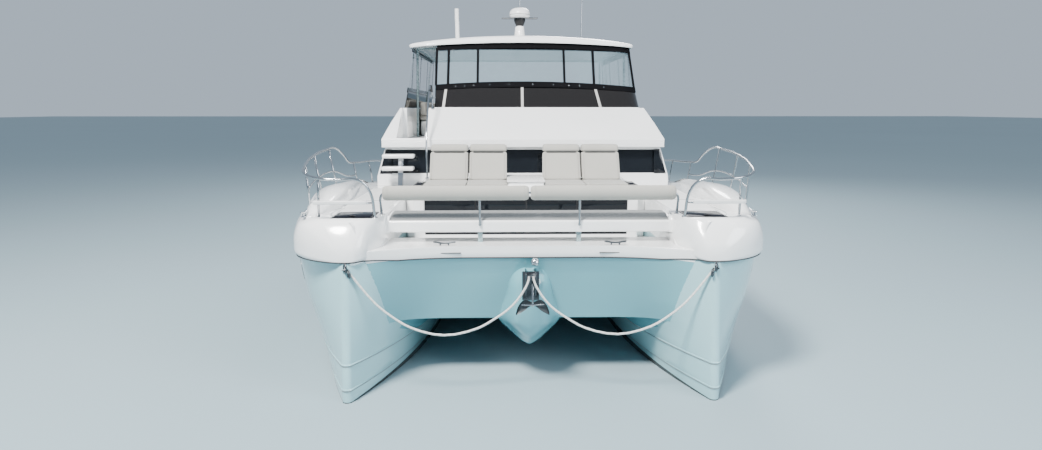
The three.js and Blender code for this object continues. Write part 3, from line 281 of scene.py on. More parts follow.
def fabric_finish(name, colour, weave=900.0, depth=0.0006, sheen=0.25, shine=0.5):
    """Outdoor upholstery: a fine plain weave, slightly faded in patches."""
    f = Finish(name, colour, 0.82, Sheen_Weight=sheen, Sheen_Roughness=0.5, Specular_IOR_Level=shine)
    x, y, z = f.axes()
    cloth = (x * weave).function("SINE") * ((y + z) * weave).function("SINE")
    fuzz = f.noise(160.0, 3.0)
    f.bump(cloth * 0.6 + fuzz * 0.6, 0.5, depth)
    faded = range_to(f.noise(2.1, 4.0), 0.35, 0.7, 0.0, 1.0)
    fleck = range_to(f.noise(420.0, 2.0), 0.35, 0.65, 0.0, 1.0)
    tone = f.mix(faded, colour, shade(colour, 0.93))
    f.set("Base Color", f.mix(fleck * 0.35, tone, shade(colour, 0.8)))
    return f.material


def rope_finish():
    """Braided rope: strands cross along its length."""
    f = Finish("braided_rope", (0.8, 0.79, 0.75), 0.8, Sheen_Weight=0.2)
    along = f.node("ShaderNodeUVMap", {}, {})
    split = f.node("ShaderNodeSeparateXYZ", {}, {0: along}).socket.node.outputs
    u, v = Value(f, split[0]), Value(f, split[1])
    strands = (u * 260.0 + v * 6.283 * 4).function("SINE") * (u * 260.0 - v * 6.283 * 4).function("SINE")
    f.bump(strands, 0.8, 0.003)
    # Painted shade: strands lighter on their crowns and darker in the hollows between them.
    f.set("Base Color", f.mix(range_to(strands, -1.0, 1.0, 0.0, 1.0), (0.6, 0.59, 0.56), (0.84, 0.83, 0.79)))
    return f.material


def painted_finish(name, colour, roughness=0.5, metallic=0.0, grain=30.0):
    """Paint, plastic or cast metal with a fine grain and a mottled tone."""
    f = Finish(name, colour, roughness, Metallic=metallic)
    cloud = f.noise(grain, 4.0)
    f.set("Roughness", range_to(cloud, 0.3, 0.7, max(0.03, roughness - 0.1), roughness + 0.12))
    f.set("Base Color", f.mix(range_to(cloud, 0.35, 0.7, 0.0, 0.6), colour, shade(colour, 0.8)))
    f.bump(f.noise(grain * 4, 3.0), 0.15, 0.0008)
    return f.material


GELCOAT = gelcoat_finish("gelcoat")
# Hull gelcoat with a painted teal reflection of the water.
HULL_SIDE_PAINTED_REFLECTION = hull_finish()
# Darker teal for the bridgedeck front and nacelle: painted shade under the deck and a painted reflection of
# the water on white gelcoat.
WING_DECK_SHADE_AND_REFLECTION = hull_finish("wing_deck_painted_shade_and_reflection", (0.15, 0.38, 0.43))
TREAD = nonskid_finish()
STEEL = steel_finish()
CHROME = steel_finish("mirror_steel", (0.55, 0.57, 0.59), 0.05)
DARK_GLASS = dark_glass_finish("tinted_glass", (0.006, 0.0075, 0.01))
SCREEN_TINT = dark_glass_finish("smoked_screen", (0.012, 0.011, 0.011), 0.95)
ACRYLIC = dark_glass_finish("smoked_acrylic", (0.012, 0.014, 0.02), coat=0.0, index=1.04)
VINYL = vinyl_finish()
CUSHION = fabric_finish("upholstery", (0.4, 0.388, 0.35))
# Near black cloth used only for painted shade: in the gap under the head rolls and in the ledge's slots.
GAP_SHADE = fabric_finish("painted_gap_shade", (0.07, 0.07, 0.068))
CANVAS = fabric_finish("black_canvas", (0.003, 0.003, 0.004), 700.0, sheen=0.0, shine=0.08)
ROPE = rope_finish()
BRONZE = painted_finish("propeller_bronze", (0.45, 0.3, 0.14), 0.35, 1.0)
ANTIFOUL = painted_finish("antifouling", (0.02, 0.022, 0.024), 0.75)
GALVANISED = painted_finish("galvanised", (0.045, 0.055, 0.06), 0.4, 0.5, 60.0)
# Dark grey used only as the painted shadow on the bench top.
BENCH_SHADOW_GREY = painted_finish("painted_bench_shadow", (0.2, 0.21, 0.21), 0.7)
DARK_STEEL = steel_finish("dark_bracket", (0.1, 0.11, 0.12), 0.28)
# Dark grey: the deck's real seams, and the painted shadow line under each spray rail.
SEAM_AND_SHADOW_LINE = painted_finish("seam_and_painted_shadow", (0.22, 0.26, 0.27), 0.6)
SUPPORT = painted_finish("pale_support", (0.42, 0.41, 0.39), 0.4)
BLACK = painted_finish("black_plastic", (0.006, 0.006, 0.007), 0.5)
ENGINE_PAINT = painted_finish("engine_paint", (0.1, 0.2, 0.14), 0.5)
WHITE_PLASTIC = painted_finish("white_plastic", (0.8, 0.8, 0.79), 0.3)
# Satin metal whose blue-grey is partly its own tone and partly a painted reflection of the water.
POST_TINT_AND_REFLECTION = painted_finish("satin_post_painted_reflection", (0.34, 0.45, 0.47), 0.25, 0.6)
RUBBER_LINE = painted_finish("joint_rubber", (0.03, 0.032, 0.035), 0.5)


# Making tools
def clear():
    """Leaves edit mode and deselects everything."""
    if bpy.context.object and bpy.context.object.mode != "OBJECT":
        bpy.ops.object.mode_set(mode="OBJECT")
    bpy.ops.object.select_all(action="DESELECT")


def pick(piece):
    clear()
    piece.select_set(True)
    bpy.context.view_layer.objects.active = piece


def apply_modifier(piece, kind, **settings):
    pick(piece)
    modifier = piece.modifiers.new(kind.lower(), kind)
    for key, value in settings.items():
        setattr(modifier, key, value)
    bpy.ops.object.modifier_apply(modifier=modifier.name)


def smooth(piece, degrees=30):
    pick(piece)
    bpy.ops.object.shade_smooth_by_angle(angle=math.radians(degrees))


def keep(piece, name, material, body="boat", replaces=()):
    """Names a finished piece, gives it its finish and ties it to its body."""
    piece.name = name
    piece.data.name = name
    piece.data.materials.clear()
    piece.data.materials.append(material)
    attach(piece, body)
    if replaces:
        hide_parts(*replaces)


def block(low, high):
    """A box as a new object, with its place in its mesh."""
    clear()
    size = [b - a for a, b in zip(low, high)]
    middle = [(a + b) / 2 for a, b in zip(low, high)]
    bpy.ops.mesh.primitive_cube_add(size=1, location=middle, scale=size)
    piece = bpy.context.object
    bpy.ops.object.transform_apply(location=True, rotation=True, scale=True)
    return piece


def round_edges(piece, width, segments=3, degrees=30, shading=40):
    """Bevels the edges sharper than an angle and shades the rest smooth."""
    apply_modifier(piece, "BEVEL", width=width, segments=segments, limit_method="ANGLE",
                   angle_limit=math.radians(degrees))
    smooth(piece, shading)


def mesh_piece(points, faces, name="form"):
    mesh = bpy.data.meshes.new(name)
    mesh.from_pydata([tuple(p) for p in points], [], faces)
    mesh.update()
    piece = bpy.data.objects.new(name, mesh)
    bpy.context.collection.objects.link(piece)
    return piece


def outward(piece):
    """Merges a piece's doubles and turns its faces outwards."""
    pick(piece)
    bpy.ops.object.mode_set(mode="EDIT")
    bpy.ops.mesh.select_all(action="SELECT")
    bpy.ops.mesh.remove_doubles(threshold=0.00002)
    bpy.ops.mesh.normals_make_consistent(inside=False)
    bpy.ops.object.mode_set(mode="OBJECT")
    return piece


def loft(sections, closed=True):
    """A closed skin through rings of equal point counts."""
    count = len(sections[0])
    points = [p for ring in sections for p in ring]
    faces = []
    for s in range(len(sections) - 1):
        for p in range(count if closed else count - 1):
            q = (p + 1) % count
            faces.append((s * count + p, s * count + q, (s + 1) * count + q, (s + 1) * count + p))
    if closed:
        faces.append(tuple(reversed(range(count))))
        faces.append(tuple(range((len(sections) - 1) * count, len(sections) * count)))
    return outward(mesh_piece(points, faces))


def cut(piece, *tools):
    """Takes each tool's form out of a piece; the tools are used up."""
    for tool in tools:
        apply_modifier(piece, "BOOLEAN", operation="DIFFERENCE", object=tool, solver="EXACT")
        bpy.data.objects.remove(tool)
    return piece


def union(pieces):
    """Several objects as one."""
    clear()
    for piece in pieces:
        piece.select_set(True)
    bpy.context.view_layer.objects.active = pieces[0]
    if len(pieces) > 1:
        bpy.ops.object.join()
    return bpy.context.object


def tube(points, radius, closed=False, curved=True, sides=3):
    """A round tube along a path, as a mesh with its ends filled."""
    data = bpy.data.curves.new("path", "CURVE")
    data.dimensions, data.bevel_depth, data.bevel_resolution, data.use_fill_caps = "3D", radius, sides, True
    data.resolution_u = 8
    spline = data.splines.new("BEZIER" if curved else "POLY")
    if curved:
        spline.bezier_points.add(len(points) - 1)
        for knot, place in zip(spline.bezier_points, points):
            knot.co = place
            knot.handle_left_type = knot.handle_right_type = "AUTO"
    else:
        spline.points.add(len(points) - 1)
        for knot, place in zip(spline.points, points):
            knot.co = (*place, 1)
    spline.use_cyclic_u = closed
    curve = bpy.data.objects.new("path", data)
    bpy.context.collection.objects.link(curve)
    pick(curve)
    bpy.ops.object.convert(target="MESH")
    piece = bpy.context.object
    smooth(piece, 40)
    return piece


def copy_of(node):
    """A merged copy of a CAD node, ready to be finished."""
    source = bpy.data.objects[node] if node in bpy.data.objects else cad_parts[node]
    piece = bpy.data.objects.new("copy", source.data.copy())
    bpy.context.collection.objects.link(piece)
    for key in list(piece.keys()):
        del piece[key]
    pick(piece)
    bpy.ops.object.mode_set(mode="EDIT")
    bpy.ops.mesh.select_all(action="SELECT")
    bpy.ops.mesh.remove_doubles(threshold=0.00005)
    bpy.ops.mesh.dissolve_limited(angle_limit=math.radians(1.0))
    bpy.ops.object.mode_set(mode="OBJECT")
    return piece


def polish(node, material, width=0.01, body="boat", segments=3, name=None):
    """The CAD node with its edges rounded as the moulding's are."""
    piece = copy_of(node)
    round_edges(piece, width, segments)
    keep(piece, name or node + "_moulding", material, body, (node,))


def ball(place, radius, segments=16):
    clear()
    rings = segments // 2
    bpy.ops.mesh.primitive_uv_sphere_add(segments=segments, ring_count=rings, radius=radius, location=place)
    piece = bpy.context.object
    bpy.ops.object.transform_apply(location=True, rotation=True, scale=True)
    smooth(piece, 60)
    return piece


def lerp(a, b, t):
    return a + (b - a) * t


def unit(t):
    return min(1.0, max(0.0, t))


def bend(a, b, c, t):
    """Place at t on the curve that leaves a toward b and comes into c from b."""
    return (1 - t) ** 2 * a + 2 * t * (1 - t) * b + t * t * c


def turns(count):
    """Angles of a full circle in equal steps."""
    return [2 * math.pi * i / count for i in range(count)]


def mirror(piece, side):
    """Turns a port piece into the starboard one."""
    if side < 0:
        pick(piece)
        bpy.ops.transform.mirror(orient_type="GLOBAL", constraint_axis=(True, False, False),
                                 center_override=(0, 0, 0))
        bpy.ops.object.transform_apply(location=True, rotation=True, scale=True)
        outward(piece)
    return piece


def slab(profile, x0, x1):
    """A prism across the boat from a profile of (y, z)."""
    return loft([[(x, y, z) for y, z in profile] for x in (x0, x1)])


def lathe(profile, centre, steps=48):
    """A closed turned form about an upright axis from (radius, height) pairs."""
    cx, cy, cz = centre
    rings = []
    for radius, height in profile:
        r = max(radius, 0.0005)
        rings.append([(cx + r * math.cos(a), cy + r * math.sin(a), cz + height) for a in turns(steps)])
    piece = loft(rings)
    smooth(piece, 50)
    return piece


def soft_slab(low, high, edge):
    """A board with well rounded edges."""
    piece = block(low, high)
    round_edges(piece, edge * 0.6, 4, 40)
    return piece


def curve_through(rows, steps):
    """Rows between the table's rows, by a smooth curve that passes through each."""
    made = []
    for i in range(len(rows) - 1):
        a, b = rows[max(0, i - 1)], rows[i]
        c, d = rows[i + 1], rows[min(len(rows) - 1, i + 2)]
        for s in range(steps):
            t = s / steps
            row = []
            for p, q, r, w in zip(a, b, c, d):
                m0 = (r - p) / 2 if (q - p) * (r - q) > 0 else 0.0
                m1 = (w - q) / 2 if (r - q) * (w - r) > 0 else 0.0
                m0 = math.copysign(min(abs(m0), 3 * abs(r - q)), m0)
                m1 = math.copysign(min(abs(m1), 3 * abs(r - q)), m1)
                h = t * t * (3 - 2 * t)
                row.append(q + (r - q) * h + m0 * t * (1 - t) ** 2 - m1 * t * t * (1 - t))
            made.append(tuple(row))
    made.append(rows[-1])
    return made


def route_through(points, parts):
    """Points of a smooth curve through the route, evenly shared out."""
    made = []
    last = len(points) - 1
    for i in range(last):
        b, c = Vector(points[i]), Vector(points[i + 1])
        span = c - b
        leave, arrive = span, span
        if i:
            before = b - Vector(points[i - 1])
            leave = span * 0.5 + before * 0.5 * (span.length / max(0.01, before.length))
        if i + 1 < last:
            after = Vector(points[i + 2]) - c
            arrive = span * 0.5 + after * 0.5 * (span.length / max(0.01, after.length))
        for s in range(parts):
            t = s / parts
            place = b * (2 * t ** 3 - 3 * t * t + 1) + leave * (t ** 3 - 2 * t * t + t)
            made.append(place + c * (3 * t * t - 2 * t ** 3) + arrive * (t ** 3 - t * t))
    made.append(Vector(points[-1]))
    return made


# Hulls and decks
def joint_z(y):
    """Height of the joint between hull and deck."""
    return lerp(JOINT_BOW_Z, JOINT_STERN_Z, unit((y - SHEER_BREAK_Y) / (TRANSOM_Y - SHEER_BREAK_Y)))


def deck_z(y):
    """Height of the side decks."""
    return lerp(DECK_BOW_Z, DECK_STERN_Z, unit((y - SHEER_BREAK_Y) / (TRANSOM_Y - SHEER_BREAK_Y)))


# Hull levels: z, stem set-back, half breadth, entry length, fullness, rise at the transom
HULL_LEVELS = (
    (-0.85, 0.42, 0.04, 3.0, 2.0, 0.6),
    (-0.52, 0.16, 0.64, 5.0, 2.1, 0.33),
    (-0.12, 0.02, 0.85, 4.5, 2.3, 0.06),
    (0.17, 0.015, 0.895, 4.2, 2.3, 0.0),
    (0.185, 0.015, 0.93, 4.2, 2.3, 0.0),
    (0.48, 0.045, 0.938, 3.7, 2.4, 0.0),
    (0.5, 0.045, 0.962, 3.7, 2.4, 0.0),
    (1.1, 0.11, 0.968, 2.7, 2.9, 0.0),
    (None, 0.19, 0.972, 2.4, 4.0, 0.0),
)
HULL_STEPS = (3, 3, 4, 1, 4, 1, 6, 6)
CHINE_LEVELS = (3, 5)
STEM_RADIUS = 0.06
HULL_STATIONS = 54
NOSE_STEPS = 12

# Room cut out of a hull: first and last place along the boat, floor, outer side
PAST = 9.0
ABOVE = 4.0
HULL_CUTS = (
    (-5.912, HOUSE_AFT_Y, SHELF_Z, WELL_X), (HOUSE_AFT_Y - 0.005, PAST, 0.91, COCKPIT_X),
    (5.6, PAST, 0.7, ABOVE), (5.95, PAST, 0.42, ABOVE),
)
# Profiles in y and z: what is cut away over the stern steps' outer side, and the keel fin
STERN_SLOPE = ((5.24, 1.34), (5.5, 1.24), (6.05, 0.62), (6.4, 0.48), (6.4, 2.0), (5.24, 2.0))
KEEL_FIN = ((-1.5, -0.7), (-1.1, -0.97), (2.9, -0.97), (3.25, -0.64), (-1.5, -0.64))
KEEL_HALF = 0.045
# Grip pads on the stern steps: first and last place along the boat, height, inner and outer side
STERN_PADS = ((5.3, 5.54, 0.91, 1.46, 2.66), (5.66, 5.89, 0.7, 1.5, 3.0), (6.0, 6.22, 0.42, 1.5, 2.98))
# Propeller shaft and its boss: first and last place along the boat, radius
SHAFT_Z = -0.73
SHAFT_PARTS = ((2.95, 4.5, 0.022), (2.7, 3.35, 0.07))
FOREFOOT_PLACE, FOREFOOT_SIZE = (HULL_X, -6.13, -0.47), (0.21, 0.9, 0.27)
BOW_EYE_X, BOW_EYE_Z = HULL_X - 0.01, 1.715
BOW_EYE_Y0, BOW_EYE_Y1, BOW_EYE_RADIUS = -6.3, -6.425, 0.012
SPRAY_RAIL_AFT_Y = 4.9
# Spray rail and the dark line painted as its shadow under it: height over the chine, radius
SPRAY_RAIL, SPRAY_SHADE = (0.004, 0.011), (-0.013, 0.008)


def hull_row(z):
    """Level figures at a height, by straight shares between the table's rows."""
    rows = [(JOINT_BOW_Z,) + row[1:] if row[0] is None else row for row in HULL_LEVELS]
    for low, high in zip(rows, rows[1:]):
        if z <= high[0]:
            t = unit((z - low[0]) / (high[0] - low[0]))
            return [lerp(a, b, t) for a, b in zip(low, high)]
    return list(rows[-1])


def stem_half(breadth):
    """Half thickness of the stem, which thins out toward the keel."""
    return STEM_RADIUS * min(1.0, breadth / 0.1)


def breadth_at(row, y):
    """Half breadth of a level line at a place along the hull."""
    _, back, breadth, entry, fullness, _ = row
    bow = stem_half(breadth)
    run = unit((y - STEM_Y - back) / entry)
    return bow + (breadth - bow) * (1 - (1 - run) ** fullness)


def hull_half(y, z):
    """Half breadth of a hull at a place and height."""
    return breadth_at(hull_row(z), y)


def hull_ring(row, climb=None):
    """One closed level line, its stem rounded; climb is its share of the way up to the joint."""
    z, back, breadth, entry, fullness, rise = row
    side = []
    for i in range(HULL_STATIONS + 1):
        along = (i / HULL_STATIONS) ** 1.9
        y = lerp(STEM_Y + back, TRANSOM_Y, along)
        height = z + rise * unit((along - 0.5) / 0.5) ** 1.6
        if climb is not None:
            height = lerp(height, joint_z(y), climb)
        side.append((breadth_at(row, y), y, height))
    # The nose is an arc that meets both sides without a crease.
    half, y, height = side[0]
    lead = math.atan((breadth - stem_half(breadth)) * fullness / entry)
    radius = half / math.cos(lead)
    nose = []
    for i in range(1, NOSE_STEPS):
        turn = lerp(lead, math.pi - lead, i / NOSE_STEPS)
        nose.append((radius * math.cos(turn), y + radius * (math.sin(lead) - math.sin(turn)), height))
    left = [(-half, y, height) for half, y, height in side]
    ring = side[::-1] + nose + left
    return [(HULL_X + x, y, height) for x, y, height in ring]


def hull_rings():
    """Level lines from the keel up to the joint, which runs downhill aft."""
    rings = []
    for steps, low, high in zip(HULL_STEPS, HULL_LEVELS, HULL_LEVELS[1:]):
        to_joint = high[0] is None
        for step in range(steps + to_joint):
            t = step / steps
            if to_joint:
                row = [low[0]] + [lerp(a, b, t) for a, b in zip(low[1:], high[1:])]
                rings.append(hull_ring(row, t))
            else:
                rings.append(hull_ring([lerp(a, b, t) for a, b in zip(low, high)]))
    return rings


def make_hull(side, word):
    """Shell with forefoot, keel fin, shaft and stern steps, and the eye of the bridle."""
    hull = loft(hull_rings())
    cut(hull, *[block((0.0, y0, z), (x, y1, ABOVE)) for y0, y1, z, x in HULL_CUTS])
    cut(hull, slab(STERN_SLOPE, COCKPIT_X, ABOVE))
    make_stern_pads(side, word)
    round_edges(hull, 0.012, 2, 34)
    keel = slab(KEEL_FIN, HULL_X - KEEL_HALF, HULL_X + KEEL_HALF)
    round_edges(keel, 0.02, 3)
    shafts = []
    for y0, y1, radius in SHAFT_PARTS:
        shafts.append(tube([(HULL_X, y0, SHAFT_Z), (HULL_X, y1, SHAFT_Z)], radius, curved=False))
    clear()
    bpy.ops.mesh.primitive_uv_sphere_add(segments=48, ring_count=24, radius=1, location=FOREFOOT_PLACE,
                                         scale=FOREFOOT_SIZE)
    forefoot = bpy.context.object
    bpy.ops.object.transform_apply(location=True, rotation=True, scale=True)
    smooth(forefoot, 60)
    hull = union([hull, keel, *shafts, forefoot])
    eye_line = [(BOW_EYE_X, y, BOW_EYE_Z) for y in (BOW_EYE_Y0, BOW_EYE_Y1)]
    eye = tube(eye_line, BOW_EYE_RADIUS, curved=False)
    mirror(hull, side)
    keep(hull, "hull_shell_" + word, HULL_SIDE_PAINTED_REFLECTION, "boat", ("hull_" + word,))
    keep(mirror(eye, side), "bow_eye_" + word, STEEL)
    make_spray_rails(side, word)


def make_stern_pads(side, word):
    """Thin grip pads on one hull's stern steps."""
    pads = []
    for y0, y1, z, x0, x1 in STERN_PADS:
        pads.append(slab([(y0, z - 0.006), (y0, z + 0.004), (y1, z + 0.004), (y1, z - 0.006)], x0, x1))
    pad = union(pads)
    round_edges(pad, 0.0025, 2)
    keep(mirror(pad, side), "stern_step_pads_" + word, TREAD)


def make_spray_rails(side, word):
    """Half-round rails along the two chines, each with a dark line under it painted as its shadow."""
    rails, shadow_lines = [], []
    for level in CHINE_LEVELS:
        line = [place for place in hull_ring(HULL_LEVELS[level]) if place[1] < SPRAY_RAIL_AFT_Y]
        for made, (lift, radius) in ((rails, SPRAY_RAIL), (shadow_lines, SPRAY_SHADE)):
            made.append(tube([(x, y, z + lift) for x, y, z in line], radius, curved=False, sides=2))
    keep(mirror(union(rails), side), "spray_rails_" + word, HULL_SIDE_PAINTED_REFLECTION)
    keep(mirror(union(shadow_lines), side), "spray_rail_shade_" + word, SEAM_AND_SHADOW_LINE)


# Hull windows: first and last place along the hull, middle height, half height
HULL_WINDOWS = ((-5.35, -1.3, 1.42, 0.2), (0.3, 2.5, 1.12, 0.14))
WINDOW_END = 0.3
WINDOW_FALL = 0.03


def make_hull_windows(side, word):
    """Long flush panes let into a hull's outer side, their ends rounded."""
    panes = []
    for y0, y1, middle, reach in HULL_WINDOWS:
        rings = []
        for i in range(49):
            t = i / 48
            y = lerp(y0, y1, 0.5 - 0.5 * math.cos(math.pi * t))
            end = unit(min(y - y0, y1 - y) / WINDOW_END)
            half = reach * (0.06 + 0.94 * math.sqrt(1 - (1 - end) ** 2))
            centre = middle - WINDOW_FALL * (y - y0) / (y1 - y0)
            heights = [centre + half * k / 4 for k in range(-4, 5)]
            outer = [(HULL_X + hull_half(y, z) + 0.005, y, z) for z in heights]
            inner = [(HULL_X + hull_half(y, z) - 0.02, y, z) for z in heights[::-1]]
            rings.append(outer + inner)
        panes.append(loft(rings))
    pane = union(panes)
    smooth(pane, 40)
    keep(mirror(pane, side), "hull_windows_" + word, DARK_GLASS)


# Joint strip: radius, how far the joint is drawn in under the deck's shoulder, drop below the joint
JOINT_RADIUS, JOINT_SET_IN, JOINT_DROP = 0.0085, 0.024, 0.003
# Last place aft on the outer side, and where the inner side leaves the bow for the sweep
JOINT_AFT_Y, JOINT_LEAVE_Y = 5.2, -6.27


def joint_route():
    """Half of the joint's line: from the stern, round the bow and along the sweep to the middle."""
    outer, inner = [], []
    for y, out_half, inner_x, _, rounding in curve_through(DECK_STATIONS, 6):
        spread = min(1.0, (HULL_X + out_half - inner_x) / 0.8)
        z = joint_z(y) - JOINT_DROP
        if y < JOINT_AFT_Y:
            outer.append((HULL_X + out_half - JOINT_SET_IN * spread + 0.002, y, z))
        if y < JOINT_LEAVE_Y:
            inner.append((inner_x + JOINT_SET_IN * spread * rounding - 0.002, y - 0.003, z))
    nose = [(x, y - 0.006, z) for x, y, z in (outer[0], inner[0])]
    z, leave_y, meet_x = SWEEP[JOINT_ROW]
    sweep = []
    for i, (x, y) in enumerate(sweep_line(z, leave_y, meet_x)):
        if i:
            sweep.append((x, y - 0.004, lerp(inner[-1][2], z - 0.002, unit(i / 5))))
    return outer[::-1] + nose + inner + sweep


def make_joint_line():
    """Slim dark rubber strip between hulls and decks, in one run round both bows."""
    half = joint_route()
    line = half + [(0.0, half[-1][1], half[-1][2])] + [(-x, y, z) for x, y, z in half[::-1]]
    keep(tube(line, JOINT_RADIUS, curved=False, sides=2), "joint_line", RUBBER_LINE)


# Decks: y, outer half breadth, inner edge, share of height, roundness of the inner shoulder
DECK_STATIONS = (
    (-6.375, 0.06, 2.25, 0.16, 1.0), (-6.35, 0.19, 2.175, 0.4, 1.0), (-6.26, 0.385, 2.085, 0.72, 1.0),
    (-6.15, 0.545, 2.03, 0.94, 0.5), (-6.0, 0.68, 1.96, 1.0, 0.12), (-5.85, 0.76, 1.92, 1.0, 0.05),
    (-5.6, 0.83, 1.9, 1.0, 0.0), (-5.1, 0.94, 1.9, 1.0, 0.0), (-4.4, 0.985, 1.9, 1.0, 0.0),
    (-1.9, 0.985, 1.9, 1.0, 0.0), (0.0, 0.98, 1.9, 1.0, 0.0), (2.9, 0.975, 1.9, 1.0, 0.0),
    (5.24, 0.97, 1.9, 1.0, 0.0),
)
DECK_SHOULDER = ((-0.025, 0.0), (0.012, 0.12), (0.012, 0.36), (-0.018, 0.66), (-0.085, 0.87), (-0.23, 1.0))
HATCH_X0, HATCH_X1, HATCH_Y0, HATCH_Y1 = 2.02, 2.54, -6.02, -5.49
# Room cut out of a deck: inner and outer side, first and last place along the boat, floor
DECK_CUTS = (
    (HATCH_X0 - 0.008, HATCH_X1 + 0.008, HATCH_Y0 - 0.008, HATCH_Y1 + 0.008, DECK_BOW_Z - 0.04),
    (HATCH_X0 + 0.03, HATCH_X1 - 0.03, HATCH_Y0 + 0.04, HATCH_Y1 - 0.04, DECK_BOW_Z - 0.36),
    (0.0, 2.655, HOUSE_FRONT_Y - 0.005, HOUSE_AFT_Y + 0.005, 0.0), (0.0, COCKPIT_X, HOUSE_AFT_Y, 6.0, 0.0),
)
# Tread patches: first and last place along the boat, inner and outer side
SIDE_TREADS = ((-5.36, -4.35, 1.97, 2.6), (-4.25, -2.7, 1.97, 2.62))
# Curved seams of the bow cap: x and y of the inner one, and how the next one is set off from it
BOW_SEAM = ((2.4, -6.0, 1.0, 0.4), (2.52, -5.75, 0.8, 0.0), (2.57, -5.45, 0.6, 0.0), (2.57, -5.1, 0.4, 0.0))
BOW_SEAM_OFFSETS = (0.0, 0.1)
CHOCK_X, CHOCK_Y = 2.93, -5.8
SIDE_CLEAT_X, SIDE_CLEATS_Y = 2.99, (1.4, 4.95)


def deck_sections():
    """Sections of a deck from the bow aft, rounded on both shoulders."""
    shoulder = curve_through(DECK_SHOULDER, 4)
    rings = []
    for y, outer, inner, share, rounding in curve_through(DECK_STATIONS, 6):
        low = joint_z(y) + GAP
        high = lerp(low, deck_z(y), share)
        edge = HULL_X + outer
        spread = min(1.0, (edge - inner) / 0.8)
        out = [(edge + dx * spread, y, lerp(low, high, up)) for dx, up in shoulder]
        back = [(inner - dx * spread * rounding, y, lerp(low, high, up)) for dx, up in reversed(shoulder)]
        rings.append(out + back)
    return rings


# Perch on the pulpit's low bar: its middle and underside, half length, half depth, thickness
SEAT_X, SEAT_Y, SEAT_Z = 2.4, -6.088, 2.438
SEAT_REACH, SEAT_HALF_DEPTH, SEAT_THICK = 0.34, 0.038, 0.045


def make_deck(side, word):
    """Rounded bow cap and side deck with its treads, seams, cleats and chock."""
    deck = loft(deck_sections())
    cut(deck, *[block((x0, y0, z), (x1, y1, ABOVE)) for x0, x1, y0, y1, z in DECK_CUTS])
    round_edges(deck, 0.014, 3, 50, 50)
    keep(mirror(deck, side), "deck_cap_" + word, GELCOAT, "boat", ("deck_" + word,))
    patches = []
    for y0, y1, x0, x1 in SIDE_TREADS:
        patches.append(block((x0, y0, DECK_BOW_Z - 0.01), (x1, y1, DECK_BOW_Z + TREAD_PROUD)))
    patch = union(patches)
    round_edges(patch, 0.0015, 1)
    keep(mirror(patch, side), "side_deck_tread_" + word, TREAD)
    chock = cleat(CHOCK_X, CHOCK_Y, DECK_BOW_Z - 0.005, "y")
    keep(mirror(chock, side), "bow_chock_" + word, CHROME)
    seams = []
    for offset in BOW_SEAM_OFFSETS:
        arc = [(x + offset * dx, y + offset * dy) for x, y, dx, dy in BOW_SEAM]
        seams.append(tube([(x, y, deck_top(x, y) + 0.001) for x, y in arc], 0.004))
    keep(mirror(union(seams), side), "bow_deck_seams_" + word, SEAM_AND_SHADOW_LINE)
    make_raised_edge(side, word)
    make_pulpit_seat(side, word)
    horns = union([cleat(SIDE_CLEAT_X, y, deck_z(y) - 0.02, "y") for y in SIDE_CLEATS_Y])
    keep(mirror(horns, side), "side_cleats_" + word, CHROME)


def flattened(share):
    """A sine or cosine made fuller, so that its circle turns into a rounded box."""
    return math.copysign(abs(share) ** 0.75, share)


def make_pulpit_seat(side, word):
    """Narrow rounded perch fixed over the pulpit's low bar, clear of the open hatch."""
    outline = []
    for a in turns(28):
        x, y = SEAT_REACH * flattened(math.cos(a)), SEAT_HALF_DEPTH * flattened(math.sin(a))
        outline.append((SEAT_X + x, SEAT_Y + y))
    board = loft([[(x, y, z) for x, y in outline] for z in (SEAT_Z, SEAT_Z + SEAT_THICK)])
    round_edges(board, 0.012, 4)
    keep(mirror(board, side), "pulpit_seat_" + word, WHITE_PLASTIC)


# Raised outer edge of each foredeck. Rows: y, inner side, height above the deck
RAISED_EDGE = (
    (-5.86, 2.8, 0.004), (-5.72, 2.76, 0.035), (-5.52, 2.7, 0.11), (-5.3, 2.66, 0.17), (-4.9, 2.63, 0.225),
    (-4.4, 2.65, 0.25), (-3.6, 2.74, 0.21), (-2.9, 2.84, 0.165), (-2.3, 2.92, 0.12), (-1.7, 2.98, 0.06),
    (-1.2, 3.0, 0.004),
)
# Its outer face, set in from the hull's side, and its inner face: distance, share of the height
RAISED_OUTER = ((-0.175, 0.3), (-0.205, 0.62), (-0.25, 0.85), (-0.3, 0.96))
RAISED_INNER = ((0.07, 0.95), (0.03, 0.8), (0.006, 0.45), (0.0, 0.0))


def make_raised_edge(side, word):
    """Swelling of the deck along a bow's outer side, gone beside the deckhouse."""
    rings = []
    for y, inner, rise in curve_through(RAISED_EDGE, 6):
        edge = HULL_X + deck_row(y)[1]
        z = deck_z(y) - 0.003
        ring = [(edge - 0.15, y, z - 0.045), (edge - 0.16, y, z - 0.02)]
        ring += [(edge + dx, y, z + up * rise) for dx, up in RAISED_OUTER]
        ring.append(((edge - 0.3 + inner) / 2, y, z + rise))
        ring += [(inner + dx, y, z + rise * up) for dx, up in RAISED_INNER]
        ring.append((inner, y, z - 0.04))
        rings.append(ring)
    swelling = loft(rings)
    apply_modifier(swelling, "SUBSURF", levels=1, render_levels=1)
    smooth(swelling, 70)
    keep(mirror(swelling, side), "raised_deck_edge_" + word, GELCOAT)


def deck_row(y):
    """Figures of the deck's section at a place along the boat."""
    rows = curve_through(DECK_STATIONS, 6)
    index = next(i for i, row in enumerate(rows) if row[0] >= y)
    before, after = rows[index - 1], rows[index]
    t = (y - before[0]) / (after[0] - before[0])
    return [lerp(a, b, t) for a, b in zip(before, after)]


